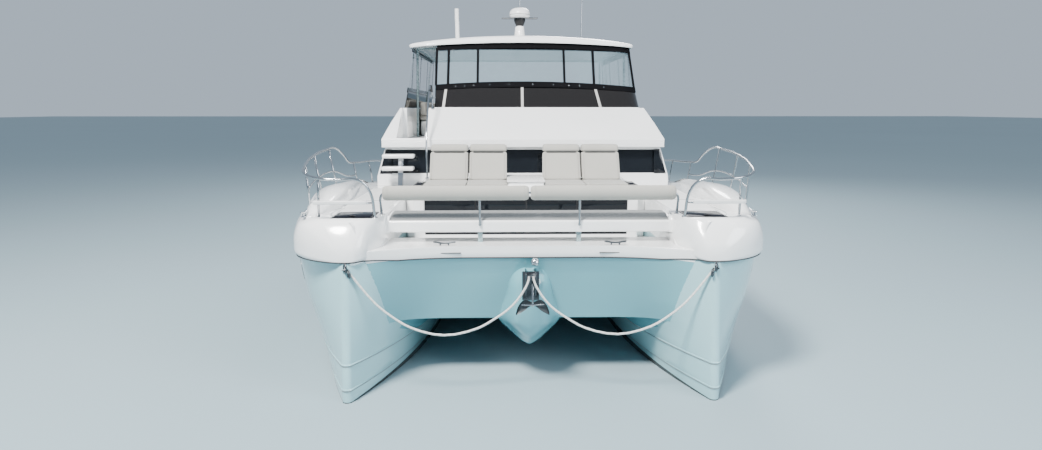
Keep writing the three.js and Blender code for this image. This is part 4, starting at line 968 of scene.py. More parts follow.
def deck_top(x, y):
    """Height of the deck's skin at a place."""
    _, outer, _, share, _ = deck_row(y)
    low = joint_z(y)
    high = lerp(low, deck_z(y), share)
    inset = HULL_X + outer - x
    for (a, up), (b, following) in zip(DECK_SHOULDER, DECK_SHOULDER[1:]):
        if -b >= inset:
            return lerp(low, high, lerp(up, following, unit((inset + a) / (a - b))))
    return high


# Horn of a cleat: share of its half length, height
CLEAT_HORN = ((-1, 0.062), (-0.7, 0.058), (-0.3, 0.05), (0.3, 0.05), (0.7, 0.058), (1, 0.062))
CLEAT_REACH = {"x": 0.135, "y": 0.14}
CLEAT_RADIUS = 0.012


def cleat(x, y, z, along):
    """A two-legged mooring cleat with upswept horns on a thin base plate."""
    reach = CLEAT_REACH[along]
    along_x, along_y = (reach, 0.0) if along == "x" else (0.0, reach)

    def place(share, up):
        return x + share * along_x, y + share * along_y, z + up

    horn = tube([place(share, up) for share, up in CLEAT_HORN], CLEAT_RADIUS)
    legs = []
    for share in (-0.42, 0.42):
        legs.append(tube([place(share, -0.004), place(share * 0.9, 0.05)], CLEAT_RADIUS, curved=False))
    ends = [ball(place(share, 0.062), 0.0125) for share in (-1, 1)]
    half_x, half_y = max(0.028, along_x * 0.62), max(0.028, along_y * 0.62)
    plate = block((x - half_x, y - half_y, z - 0.004), (x + half_x, y + half_y, z + 0.006))
    round_edges(plate, 0.004, 2)
    return union([horn, *legs, *ends, plate])


# Bow hatch: width of its frame, and its toggle handle: place across and along the boat, heights over the deck
HATCH_FRAME = 0.03
HANDLE_X0, HANDLE_X1, HANDLE_Y = HULL_X - 0.055, HULL_X + 0.015, HATCH_Y0 + 0.08
HANDLE_LOW, HANDLE_HIGH = DECK_BOW_Z + 0.002, DECK_BOW_Z + 0.018


def make_bow_hatch(side, word):
    """Smoked acrylic lid in a black frame, with a toggle handle."""
    body = "bow_hatch_" + word
    rim = block((HATCH_X0, HATCH_Y0, DECK_BOW_Z - 0.04 + GAP), (HATCH_X1, HATCH_Y1, DECK_BOW_Z + 0.004))
    round_edges(rim, 0.006)
    keep(mirror(rim, side), "hatch_frame_" + word, BLACK, body, ("bow_hatch_" + word,))
    pane = block((HATCH_X0 + HATCH_FRAME, HATCH_Y0 + HATCH_FRAME, DECK_BOW_Z - 0.02),
                 (HATCH_X1 - HATCH_FRAME, HATCH_Y1 - HATCH_FRAME, DECK_BOW_Z + 0.007))
    round_edges(pane, 0.003, 2)
    keep(mirror(pane, side), "hatch_pane_" + word, ACRYLIC, body)
    middle = (HANDLE_X0 + HANDLE_X1) / 2
    bar = tube([(x, HANDLE_Y, HANDLE_HIGH) for x in (HANDLE_X0, HANDLE_X1)], 0.008)
    stem = tube([(middle, HANDLE_Y, z) for z in (HANDLE_LOW, HANDLE_HIGH)], 0.014)
    keep(mirror(union([bar, stem]), side), "hatch_handle_" + word, BLACK, body)


# Bridgedeck, nacelle and the concave sweep that joins them to the hulls.
# Sweep columns: height, where it leaves the hull's inner side, where it meets the flat front
SWEEP = ((0.82, -5.9, 1.25), (1.0, -6.0, 1.12), (1.2, -6.08, 1.0), (1.45, -6.17, 0.86), (1.706, -6.24, 0.75),
         (1.835, -6.255, 0.725), (1.86, -6.235, 0.72))
JOINT_ROW = 4
SWEEP_BACK_Y = -5.35
# The flat front between the hulls: where its foot, the shelf and the ledge stand
FRONT_FOOT_Y, FRONT_SHELF_Y, FRONT_LEDGE_Y = -5.67, -5.83, -5.91
FRONT_X = 1.6
# Nacelle columns: y, half width at the roof, keel height, top, half width there
NACELLE = ((-6.05, 0.06, 1.08, 1.33, 0.05), (-5.98, 0.19, 0.76, 1.48, 0.2), (-5.8, 0.33, 0.56, 1.56, 0.3),
           (-5.47, 0.48, 0.4, 1.56, 0.34), (-4.7, 0.6, 0.43, 1.5, 0.4), (-3.4, 0.52, 0.62, 1.3, 0.4),
           (-2.4, 0.2, 0.79, 1.1, 0.15))


def front_y(z):
    """Where the flat front between the hulls stands at a height."""
    if z < SHELF_Z:
        return lerp(FRONT_FOOT_Y, FRONT_SHELF_Y, (z - TUNNEL_Z) / (SHELF_Z - TUNNEL_Z))
    return lerp(FRONT_SHELF_Y, FRONT_LEDGE_Y, unit((z - SHELF_Z) / 0.25))


def sweep_line(z, leave_y, meet_x, steps=14):
    """Plan curve at a height: off the hull's inner side, round, and into the flat front."""
    face = front_y(z) + (0.025 if z >= LEDGE_Z else 0.0)
    under = min(z, JOINT_BOW_Z - 0.01)
    half = hull_half(leave_y, under)
    start = HULL_X - half
    slope = (half - hull_half(leave_y + 0.01, under)) / 0.01
    corner = min(start - 0.02, max(meet_x + 0.02, start + slope * (face - leave_y)))
    shares = [i / steps for i in range(steps + 1)]
    return [(bend(start, corner, meet_x, share), bend(leave_y, face, face, share)) for share in shares]


def make_sweep(z0, z1):
    """The sweep of both sides between two heights, across the boat, as one skin."""
    rings = []
    for z, leave_y, meet_x in curve_through(SWEEP, 5):
        if z0 <= z <= z1:
            half = [(HULL_X, leave_y, z)] + [(x, y, z) for x, y in sweep_line(z, leave_y, meet_x)]
            other = [(-x, y, z) for x, y, z in reversed(half)]
            rings.append(half + other + [(-HULL_X, SWEEP_BACK_Y, z), (HULL_X, SWEEP_BACK_Y, z)])
    return loft(rings)


BRIDGEDECK_AFT_Y = 5.3
# Swim platform: half width, under and upper side, and its two arms' places across the boat
PLATFORM_X, PLATFORM_LOW, PLATFORM_Z = 1.31, 0.34, 0.42
PLATFORM_ARMS_X = (-0.7, 0.7)


def make_bridgedeck():
    """Tunnel roof, front and fillets as one skin, the pod under it, and the swim platform."""
    shelf = SHELF_Z - GAP
    roof = block((-HULL_X, TRUNK_FRONT_Y, TUNNEL_Z), (HULL_X, BRIDGEDECK_AFT_Y, SOLE_Z - 0.04))
    front = slab([(FRONT_SHELF_Y, shelf), (FRONT_FOOT_Y, TUNNEL_Z),
                  (TRUNK_FRONT_Y, TUNNEL_Z), (TRUNK_FRONT_Y, shelf)], -FRONT_X, FRONT_X)
    sweep = make_sweep(0.8, 1.72)
    fillets = [tunnel_fillet(side) for side in (-1, 1)]
    body = union([roof, front, sweep, *fillets])
    smooth(body, 28)
    keep(body, "bridgedeck_moulding", WING_DECK_SHADE_AND_REFLECTION, "boat", ("bridgedeck",))
    keep(make_nacelle(), "nacelle_moulding", WING_DECK_SHADE_AND_REFLECTION)
    platform = [block((-PLATFORM_X, BRIDGEDECK_AFT_Y, PLATFORM_LOW), (PLATFORM_X, TRANSOM_Y, PLATFORM_Z))]
    for x in PLATFORM_ARMS_X:
        platform.append(block((x - 0.06, 5.19, 0.36), (x + 0.06, 5.42, 0.84)))
    platform = union(platform)
    round_edges(platform, 0.02, 3)
    keep(platform, "swim_platform", GELCOAT)
    tread = block((0.06 - PLATFORM_X, BRIDGEDECK_AFT_Y + 0.06, PLATFORM_Z - 0.01),
                  (PLATFORM_X - 0.06, TRANSOM_Y - 0.06, PLATFORM_Z + TREAD_PROUD))
    keep(tread, "swim_platform_tread", TREAD)


# Rounded corner between the tunnel's roof and a hull: place along the boat, radius
FILLET = ((-5.74, 0.09), (-5.5, 0.2), (-5.0, 0.3), (-3.5, 0.3), (5.25, 0.3))


def tunnel_fillet(side):
    """Hollow quarter round along one side of the tunnel."""
    rings = []
    for y, radius in curve_through(FILLET, 8):
        x = HULL_X - hull_half(y, 0.7) + 0.006
        low = TUNNEL_Z - radius
        ring = [(x - radius, y, TUNNEL_Z + 0.05)]
        for i in range(11):
            turn = math.pi / 2 * i / 10
            ring.append((x - radius + radius * math.sin(turn), y, low + radius * math.cos(turn)))
        ring += [(x + 0.09, y, low), (x + 0.09, y, TUNNEL_Z + 0.05)]
        rings.append([(side * px, py, pz) for px, py, pz in ring])
    return loft(rings)


def make_nacelle():
    """V-shaped pod under the bridgedeck's middle, with a raked rounded nose."""
    rings = []
    for y, wide, keel, top, narrow in curve_through(NACELLE, 8):
        roof = max(TUNNEL_Z + 0.02, keel + 0.06)
        side = (lerp(0.025, wide, 0.55), lerp(keel, roof, 0.45))
        shoulder = [(narrow, lerp(roof, top, 0.5)), (narrow * 0.8, lerp(roof, top, 0.85)),
                    (narrow * 0.35, top)]
        half = [(0.0, keel), (0.025, keel + 0.004), side, (wide, roof), *shoulder, (0.0, top)]
        line = route_through([(x, 0.0, z) for x, z in half], 5)
        ring = [(p.x, y, p.z) for p in line]
        rings.append(ring + [(-x, py, z) for x, py, z in ring[1:-1][::-1]])
    nacelle = loft(rings)
    smooth(nacelle, 50)
    return nacelle


LEDGE_PROFILE = ((-5.85, 1.6), (-5.85, 1.859), (-5.29, 1.859), (-5.29, 1.5), (-5.83, 1.5))
WELL_FLOOR_Z = 1.59
# Patch of tread on the well floor: half width, first and last place along the boat
WELL_TREAD_X, WELL_TREAD_Y0, WELL_TREAD_Y1 = 1.8, -5.25, -4.15
LEDGE_CLEAT_X, LEDGE_CLEAT_Y = 1.12, -5.845
# Dark strips painted as the shade inside the slots in the ledge's front: middle and half length across the
# boat, face, height and half height
SLOT_X, SLOT_REACH, SLOT_Y, SLOT_Z, SLOT_HALF = 1.17, 0.27, -5.9325, 1.7725, 0.0055


def make_foredeck():
    """Ledge across the bows, with dark strips painted as the shade of its slots, and the sunken floor behind
    it.
    """
    lip = make_sweep(1.69, 1.87)
    smooth(lip, 40)
    ledge = slab(LEDGE_PROFILE, -WELL_X, WELL_X)
    floor = block((-WELL_X, -5.3, SHELF_Z), (WELL_X, HOUSE_FRONT_Y - 0.006, WELL_FLOOR_Z))
    body = union([lip, ledge, floor])
    keep(body, "foredeck_moulding", GELCOAT, "boat", ("foredeck",))
    tread = block((-WELL_TREAD_X, WELL_TREAD_Y0, WELL_FLOOR_Z - 0.01),
                  (WELL_TREAD_X, WELL_TREAD_Y1, WELL_FLOOR_Z + TREAD_PROUD))
    keep(tread, "well_floor_tread", TREAD)
    cleats = union([cleat(side * LEDGE_CLEAT_X, LEDGE_CLEAT_Y, LEDGE_Z - 0.018, "x") for side in (-1, 1)])
    keep(cleats, "ledge_cleats", DARK_STEEL)
    # Painted shade: dark strips where the slots in the ledge's front are dark.
    slot_shadows = []
    for side in (-1, 1):
        slot_shadows.append(block((side * SLOT_X - SLOT_REACH, SLOT_Y, SLOT_Z - SLOT_HALF),
                           (side * SLOT_X + SLOT_REACH, -5.9, SLOT_Z + SLOT_HALF)))
    slot = union(slot_shadows)
    round_edges(slot, 0.002, 2)
    keep(slot, "ledge_slot_shadows", GAP_SHADE)
    make_joint_line()


# Bench beam, and the grey pad on it painted as the shadow on the bench top, as profiles in y and z
BENCH_BEAM = ((-5.67, 2.0), (-5.67, 2.15), (-5.45, 2.219), (-5.13, 2.219), (-5.13, 2.0))
BENCH_PAD = ((-5.645, 2.15), (-5.645, 2.162), (-5.45, 2.2235), (-5.17, 2.2235), (-5.17, 2.21))
BENCH_PAD_X = 1.86
POSTS_X = (-0.66, 0.66)


def make_bench():
    """Seat beam across the well, on two satin posts, and the corners that lead into the bows."""
    beam = slab(BENCH_BEAM, -WELL_X + GAP, WELL_X - GAP)
    round_edges(beam, 0.022, 6, 40)
    keep(beam, "bench_beam", GELCOAT, "boat", ("bench",))
    posts = union([block((x - 0.032, -5.625, LEDGE_Z - 0.005), (x + 0.032, -5.575, 2.01)) for x in POSTS_X])
    round_edges(posts, 0.008, 3)
    keep(posts, "bench_posts", POST_TINT_AND_REFLECTION)
    # Painted shadow: a dark grey pad over the bench top.
    pad = slab(BENCH_PAD, -BENCH_PAD_X, BENCH_PAD_X)
    round_edges(pad, 0.003, 2)
    keep(pad, "bench_top_shadow", BENCH_SHADOW_GREY)
    for side, word in SIDES:
        keep(mirror(make_bow_corner(), side), "bow_corner_" + word, GELCOAT)


# Levels of the hollow bow corner, closer together where its top edge is rounded
CORNER_LEVELS = (1.83, 1.87, 1.93, 2.0, 2.06, 2.1, 2.13, 2.15, 2.17, 2.19, 2.205, 2.215, 2.219)
CORNER_NOSE, CORNER_NOSE_Z = 0.1, 2.12
CORNER_END_X = 1.86


def make_bow_corner():
    """Hollow curve from a bow's inner side round into the bench front and the ledge."""
    rings = []
    for z in CORNER_LEVELS:
        up = (z - JOINT_BOW_Z) / (DECK_BOW_Z - JOINT_BOW_Z)
        drawn = 0.0
        for (dx, low), (dx2, high) in zip(DECK_SHOULDER, DECK_SHOULDER[1:]):
            if low <= up <= high:
                drawn = max(0.0, -lerp(dx, dx2, (up - low) / (high - low)))
        nose = CORNER_NOSE - math.sqrt(CORNER_NOSE ** 2 - max(0.0, z - CORNER_NOSE_Z) ** 2)
        face = lerp(-5.9, -5.672, unit((z - LEDGE_Z) / 0.13) ** 0.7) + nose
        start = Vector((2.17 + drawn * 0.5, -6.27 + drawn * 0.4))
        corner = Vector((1.98 + drawn * 0.2, face))
        end = Vector((CORNER_END_X, face))
        curve = [(*bend(start, corner, end, i / 20), z) for i in range(21)]
        back = [(CORNER_END_X, face + 0.02, z), (1.95, -5.6, z), (2.3, -5.6, z), (2.35, -6.1, z)]
        rings.append(curve + back)
    piece = loft(rings)
    cut(piece, block((1.0, -7.0, LEDGE_Z + 0.0005), (1.905, -5.0, 1.9995)))
    round_edges(piece, 0.008, 2, 60)
    return piece


# Rails
def foot_plate(place, radius=0.038, aim=(0, 0, 1)):
    """Round base of a post: a low cone with a rounded rim."""
    clear()
    bpy.ops.mesh.primitive_cone_add(vertices=32, radius1=radius, radius2=radius * 0.55, depth=0.014,
                                    location=Vector(place) + Vector(aim) * 0.006)
    plate = bpy.context.object
    plate.rotation_euler = Vector(aim).to_track_quat("Z", "Y").to_euler()
    bpy.ops.object.transform_apply(location=True, rotation=True, scale=True)
    round_edges(plate, 0.002, 2, 34)
    return plate


# Bent end of the bench's front rail, in x and z
RAIL_END = ((1.945, DECK_BOW_Z - 0.02), (1.96, 2.38), (1.962, 2.46), (1.935, 2.515), (1.895, BOLSTER_Z),
            (1.86, BOLSTER_Z))
RAIL_FOOT_Z = 2.1


def make_front_rail():
    """Stainless rail of the bench front, its posts, and its bent ends."""
    parts = []
    for side in (-1, 1):
        parts.append(tube([(side * x, RAIL_Y, z) for x, z in RAIL_END], 0.016))
        parts.append(foot_plate((side * RAIL_END[0][0], RAIL_Y, DECK_BOW_Z)))
    parts.append(tube([(x, RAIL_Y, BOLSTER_Z) for x in (-1.87, 1.87)], 0.016, curved=False))
    for x in POSTS_X:
        parts.append(tube([(x, RAIL_Y, z) for z in (RAIL_FOOT_Z, BOLSTER_Z)], 0.0165, curved=False))
        z = RAIL_FOOT_Z + 0.01
        parts.append(tube([(x, RAIL_Y + 0.03, z), (x, RAIL_Y - 0.004, z)], 0.02, curved=False))
    keep(union(parts), "bench_front_rail", STEEL, "boat", ("front_rail",))


# Pulpit and side rail: places of the top tube, from its foot on the bow aft
RAIL_LINE = (
    (1.985, -5.95, 2.215), (2.06, -6.02, 2.64), (2.18, -6.06, 2.74), (2.4, -6.11, 2.75), (2.66, -6.08, 2.765),
    (2.87, -5.88, 2.8), (3.0, -5.4, 2.875), (3.1, -4.6, 2.95), (3.13, -3.7, 2.985), (3.11, -3.35, 2.99),
    (3.085, -2.9, 2.86), (3.08, -2.5, 2.7), (3.08, -2.0, 2.65), (3.08, -0.4, 2.56), (3.08, 1.2, 2.44),
    (3.08, 2.6, 2.33),
)
# Posts: top of the post, then its foot's x and y
RAIL_POSTS = (
    (2.66, -6.08, 2.765, 2.72, -5.89), (2.988, -5.45, 2.867, 2.96, -5.4), (3.1, -4.6, 2.95, 3.01, -4.5),
    (3.13, -3.62, 2.988, 3.01, -3.6), (3.08, -2.1, 2.655, 3.01, -2.1), (3.08, -0.7, 2.58, 3.01, -0.7),
    (3.08, 0.8, 2.47, 3.01, 0.8), (3.08, 2.56, 2.333, 3.01, 2.56),
)
MID_RAIL = ((2.974, -5.425, 2.56), (3.06, -4.555, 2.63), (3.068, -3.61, 2.63), (3.05, -2.7, 2.47),
            (3.045, -2.1, 2.43))
LOW_RAIL = ((2.01, -5.985, 2.44), (2.065, -6.062, 2.446), (2.3, -6.098, 2.45), (2.69, -6.02, 2.46))


def make_bow_rail(side, word):
    """Pulpit and side rail of one bow, its mid tube, and the low bar under the perch."""
    parts = [tube(RAIL_LINE, 0.0185), tube(MID_RAIL, 0.0125), tube(LOW_RAIL, 0.0125)]
    for x, y, z, foot_x, foot_y in RAIL_POSTS:
        low = deck_top(foot_x, foot_y)
        parts.append(tube([(x, y, z), (foot_x, foot_y, low - 0.015)], 0.015, curved=False))
        parts.append(foot_plate((foot_x, foot_y, low - 0.006), 0.036))
    x, y, _ = RAIL_LINE[0]
    parts.append(foot_plate((x, y, deck_top(x, y)), 0.036))
    rail = mirror(union(parts), side)
    keep(rail, "pulpit_and_rail_" + word, STEEL, "boat", ("bow_rail_" + word,))


# Soft pieces
def rounded(points, radius, steps=6):
    """A closed outline with its corners turned into arcs."""
    made = []
    count = len(points)
    for i in range(count):
        before, at, after = (Vector(points[(i + k) % count]) for k in (-1, 0, 1))
        a, b = (before - at), (after - at)
        cut_back = min(radius, a.length * 0.48, b.length * 0.48)
        start, end = at + a.normalized() * cut_back, at + b.normalized() * cut_back
        made += [tuple(bend(start, at, end, s / steps)) for s in range(steps + 1)]
    return made


def dense(outline, step):
    """The same closed outline with points no further apart than step."""
    made = []
    for i, point in enumerate(outline):
        a, b = Vector(point), Vector(outline[(i + 1) % len(outline)])
        parts = max(1, int((b - a).length / step + 0.5))
        made += [tuple(a.lerp(b, k / parts)) for k in range(parts)]
    return made


def soft_bar(outline, x0, x1, end=0.05, crown=0.012, rings=40):
    """A stuffed form along x from a (y, z) outline, full in the middle, its ends turned in."""
    centre = Vector((sum(p[0] for p in outline), sum(p[1] for p in outline))) / len(outline)
    reach = max((Vector(p) - centre).length for p in outline)
    sections = []
    for i in range(rings + 1):
        t = i / rings
        x = lerp(x0, x1, 0.5 - 0.5 * math.cos(math.pi * t))
        edge = min(x - x0, x1 - x)
        turn = math.sqrt(max(0.0, 1 - (1 - min(1.0, edge / end)) ** 2))
        inset = end * 0.62 * (1 - turn)
        full = crown * math.sin(math.pi * t)
        ring = []
        for p in outline:
            arm = Vector(p) - centre
            size = arm.length
            arm = arm * ((size - inset * min(1.0, size / reach * 1.4) + full * 0.4) / size)
            ring.append((x, centre.x + arm.x, centre.y + arm.y))
        sections.append(ring)
    piece = loft(sections)
    smooth(piece, 70)
    return piece


def soft_box(low, high, corner=0.035, crown=0.02, axis=2):
    """A box cushion: rounded corners, and a top and bottom that swell to the middle."""
    half = [(b - a) / 2 for a, b in zip(low, high)]
    middle = [(a + b) / 2 for a, b in zip(low, high)]
    clear()
    bpy.ops.mesh.primitive_cube_add(size=2)
    piece = bpy.context.object
    bpy.ops.object.mode_set(mode="EDIT")
    bpy.ops.mesh.subdivide(number_cuts=22)
    bpy.ops.object.mode_set(mode="OBJECT")
    for vertex in piece.data.vertices:
        share = list(vertex.co)
        place = [math.copysign(abs(s) ** 0.8, s) * h for s, h in zip(share, half)]
        core = [max(-(h - corner), min(h - corner, p)) for p, h in zip(place, half)]
        off = Vector([p - c for p, c in zip(place, core)])
        if off.length > 1e-6:
            off = off.normalized() * min(corner, off.length * 1.25)
        place = [c + o for c, o in zip(core, off)]
        swell = 1.0
        for k in range(3):
            if k != axis:
                swell *= max(0.0, 1 - abs(share[k]) ** 3)
        place[axis] -= math.copysign(crown * (1 - swell), share[axis]) * abs(share[axis])
        vertex.co = [m + p for m, p in zip(middle, place)]
    outward(piece)
    smooth(piece, 70)
    return piece


def seam(outline, x, radius=0.004):
    """Piping round an outline at a place along x."""
    return tube([(x, y, z) for y, z in outline], radius, closed=True, curved=False, sides=1)


def keep_soft(piece, name, replaces=()):
    keep(piece, name, CUSHION, "boat", replaces)


def roll_outline(depth, height):
    """The rail roll's oval section."""
    return [(RAIL_Y + depth * math.cos(a), BOLSTER_Z + height * math.sin(a)) for a in turns(40)]


BOLSTER_DEPTH, BOLSTER_HEIGHT = 0.072, 0.096
BOLSTER_X0, BOLSTER_X1 = 0.013, 1.93
BOLSTER_SEAMS_X = (0.075, 1.865)


def make_bolster(side, word):
    """Long roll on the front rail, with a piped seam near each end and one along its back."""
    roll = soft_bar(roll_outline(BOLSTER_DEPTH, BOLSTER_HEIGHT), BOLSTER_X0, BOLSTER_X1, 0.055, 0.006, 56)
    keep_soft(mirror(roll, side), "rail_bolster_" + word, ("bolster_" + word,))
    seam_line = roll_outline(BOLSTER_DEPTH + 0.0015, BOLSTER_HEIGHT + 0.002)
    seams = [seam(seam_line, x, 0.003) for x in BOLSTER_SEAMS_X]
    seams.append(tube([(x, RAIL_Y + 0.074, BOLSTER_Z - 0.005) for x in (0.07, 0.9, 1.865)], 0.003))
    keep(mirror(union(seams), side), "bolster_piping_" + word, CUSHION)


PAD_Y0, PAD_Y1, PAD_Z1 = -4.03, -3.02, 2.475
# Lounge places: name, inner and outer side of the back, how far the seat pad reaches past it
BACKS = (("inner", 0.3, 0.915, 0.012), ("outer", 0.943, 1.565, 0.03))
# Sections of the reclined back, of the piping round it and of its head roll, in y and z
BACK_SECTION = ((-3.44, PAD_Z1 - 0.002), (-3.175, 2.915), (-3.03, 2.895), (-3.035, PAD_Z1 - 0.002))
BACK_PIPING = ((-3.445, PAD_Z1 + 0.004), (-3.18, 2.918), (-3.03, 2.897), (-3.03, PAD_Z1 + 0.004))
HEAD_ROLL = ((-3.19, 2.915), (-3.15, 3.03), (-2.97, 3.03), (-2.955, 2.91))


def make_lounge(side, word):
    """Two seat pads and two reclined backs of one side, each with its head roll."""
    for name, x0, x1, past in BACKS:
        both = "%s_%s" % (name, word)
        pad = soft_box((x0, PAD_Y0, TRUNK_Z + 0.001), (x1 + past, PAD_Y1, PAD_Z1), 0.02, 0.006)
        replaced = ("seat_pad_" + word,) if name == "inner" else ()
        keep_soft(mirror(pad, side), "seat_pad_%s_cloth_%s" % (name, word), replaced)
        back = soft_bar(dense(rounded(BACK_SECTION, 0.04), 0.03), x0, x1, 0.05, 0.014)
        keep_soft(mirror(back, side), "backrest_%s_cloth_%s" % (name, word), ("backrest_" + both,))
        roll = soft_bar(dense(rounded(HEAD_ROLL, 0.055), 0.02), x0 + 0.004, x1 - 0.004, 0.05, 0.01)
        keep_soft(mirror(roll, side), "head_roll_" + both, ())
        welts = [seam(rounded(BACK_PIPING, 0.04), x, 0.0035) for x in (x0 + 0.035, x1 - 0.035)]
        # Painted shadow: a thin dark strip in the gap under the head roll.
        gap_shadow = block((x0 + 0.06, -3.2, 2.906), (x1 - 0.06, -3.02, 2.914))
        keep(mirror(union(welts), side), "backrest_piping_" + both, CUSHION)
        keep(mirror(gap_shadow, side), "head_roll_strap_" + both, GAP_SHADE)


# House, flybridge and hardtop
# Lounge table between the backs: half width, first and last place along the boat
TABLE_X, TABLE_Y0, TABLE_Y1 = 0.3, -3.97, -2.93
# Seams of the trunk's long window: places across the boat, lower and upper end
TRUNK_SEAMS_X, TRUNK_SEAM_Z0, TRUNK_SEAM_Z1 = (-0.79, 0.0, 0.79), 1.68, 2.27
# Lids in the trunk's top: inner and outer side, first and last place along the boat, width of the frame
LID_X0, LID_X1, LID_Y0, LID_Y1, LID_FRAME = 1.63, 1.775, -3.86, -3.3, 0.03


def make_trunk():
    """Low house with the lounge on it: its long window, table and two framed lids."""
    polish("trunk", GELCOAT, 0.03, segments=4)
    keep_glass("trunk_glass", "trunk_window")
    table = soft_slab((-TABLE_X, TABLE_Y0, TRUNK_Z + 0.065), (TABLE_X, TABLE_Y1, TRUNK_Z + 0.09), 0.02)
    keep(table, "lounge_table_top", WHITE_PLASTIC)
    seams = []
    for x in TRUNK_SEAMS_X:
        seams.append(block((x - 0.01, -4.062, TRUNK_SEAM_Z0), (x + 0.01, -4.055, TRUNK_SEAM_Z1)))
    keep(union(seams), "trunk_window_seams", BLACK)
    frames, panes = [], []
    for side in (-1, 1):
        x0, x1 = sorted((side * LID_X0, side * LID_X1))
        frames.append(block((x0, LID_Y0, TRUNK_Z - 0.01), (x1, LID_Y1, TRUNK_Z + 0.012)))
        panes.append(block((x0 + LID_FRAME, LID_Y0 + 0.06, TRUNK_Z),
                           (x1 - LID_FRAME, LID_Y1 - 0.06, TRUNK_Z + 0.016)))
    rims, lids = union(frames), union(panes)
    round_edges(rims, 0.005, 2)
    round_edges(lids, 0.003, 2)
    keep(rims, "trunk_tray_frames", BLACK)
    keep(lids, "trunk_tray_lids", ACRYLIC)


def keep_glass(node, name):
    """The CAD node's panes with their edges taken off."""
    pane = copy_of(node)
    round_edges(pane, 0.0015, 1)
    keep(pane, name, DARK_GLASS, "boat", (node,))


# Front window's outer corners: height and outer side, and their inner side
WINDOW_CORNERS = ((2.462, 2.585), (2.68, 2.53), (2.898, 2.475))
WINDOW_CORNER_X = 2.365
# Sliding door: the leaf and its opening as two opposite corners in x, y and z, and the pull's x
DOOR_LEAF = ((-1.12, 2.902, 0.96), (-0.18, 2.934, 2.885))
DOOR_OPENING = ((-1.05, 2.85, 1.05), (-0.25, 3.0, 2.8))
DOOR_PANE = ((-1.055, 2.912, 1.045), (-0.245, 2.922, 2.805))
PULL_X = -1.085
PULL_LINE = ((2.936, 1.8), (2.965, 1.83), (2.965, 2.1), (2.936, 2.13))


def make_house():
    """Deckhouse walls and glass, and the sliding door."""
    for node in ("house_front", "house_aft", "house_side_starboard", "house_side_port"):
        polish(node, GELCOAT, 0.012)
    keep_glass("front_glass", "front_windows")
    corners = []
    for side in (-1, 1):
        rings = []
        for z, outer in WINDOW_CORNERS:
            y = HOUSE_FRONT_Y + 0.08 * (z - TRUNK_Z) / (FLY_SOLE_Z - TRUNK_Z)
            front, back = y - 0.005, y + 0.01
            ring = ((WINDOW_CORNER_X, front), (outer, front), (outer, back), (WINDOW_CORNER_X, back))
            rings.append([(side * x, along, z) for x, along in ring])
        corners.append(loft(rings))
    corner_glass = union(corners)
    round_edges(corner_glass, 0.002, 2)
    keep(corner_glass, "front_window_corners", DARK_GLASS)
    keep_glass("aft_glass", "aft_windows")
    for _, word in SIDES:
        keep_glass("side_glass_" + word, "side_window_" + word)
    make_door()


def make_door():
    """Sliding leaf with its pane and pull."""
    leaf = block(*DOOR_LEAF)
    cut(leaf, block(*DOOR_OPENING))
    round_edges(leaf, 0.004, 2)
    keep(leaf, "door_leaf_frame", BLACK, "saloon_door", ("saloon_door",))
    pane = block(*DOOR_PANE)
    round_edges(pane, 0.002, 1)
    keep(pane, "door_pane", DARK_GLASS, "saloon_door")
    pull = tube([(PULL_X, y, z) for y, z in PULL_LINE], 0.008)
    keep(pull, "door_pull", CHROME, "saloon_door")


# Guard rail round the flybridge's aft end: half of its places in x and y
FLY_RAIL_Z = 3.9
FLY_RAIL = ((2.28, 4.3), (2.12, 4.56), (1.1, 4.62))
FLY_RAIL_MIDDLE_Y = 4.64
# The ends of its top tube, bent down onto the coaming: place along the boat, height
FLY_RAIL_END = ((3.85, 3.62), (4.0, 3.84))
# Tubes: drop below the top, radius
FLY_RAIL_TUBES = ((0.0, 0.016), (0.27, 0.009), (0.54, 0.009))
COAMING_TOP_Z = 3.4
# Rail beside the opening of the stair: its x, and its hoop in y and z
STAIR_RAIL_X = 1.28
STAIR_HOOP = ((2.98, 3.06), (3.0, 3.8), (3.12, 3.9), (4.2, 3.9), (4.36, 3.82), (4.38, 3.06))


def make_fly_rail():
    """Stainless guard rail with two mid tubes round the aft end of the flybridge."""
    port = list(FLY_RAIL)
    places = [(-x, y) for x, y in port] + [(0.0, FLY_RAIL_MIDDLE_Y)] + port[::-1]
    parts = []
    for drop, radius in FLY_RAIL_TUBES:
        route = [(x, y, FLY_RAIL_Z - drop) for x, y in places]
        if drop == 0.0:
            x = FLY_RAIL[0][0]
            route = [(-x, y, z) for y, z in FLY_RAIL_END] + route + [(x, y, z) for y, z in FLY_RAIL_END[::-1]]
        parts.append(tube(route, radius))
    for x, y in places[1:-1]:
        parts.append(tube([(x, y, FLY_SOLE_Z - 0.01), (x, y, FLY_RAIL_Z)], 0.0125, curved=False))
        parts.append(foot_plate((x, y, FLY_SOLE_Z + 0.002), 0.034))
    for x, y in (places[0], places[-1]):
        parts.append(tube([(x, y, COAMING_TOP_Z), (x, y, FLY_RAIL_Z)], 0.0125, curved=False))
    keep(union(parts), "fly_aft_rail", STEEL)
    y0, y1 = STAIR_HOOP[0][0], STAIR_HOOP[-1][0]
    guard = [tube([(STAIR_RAIL_X, y, z) for y, z in STAIR_HOOP], 0.016),
             tube([(STAIR_RAIL_X, y, 3.48) for y in (y0 + 0.01, y1)], 0.009, curved=False)]
    guard += [foot_plate((STAIR_RAIL_X, y, FLY_SOLE_Z + 0.002), 0.034) for y in (y0, y1)]
    keep(union(guard), "stair_hole_rail", STEEL)


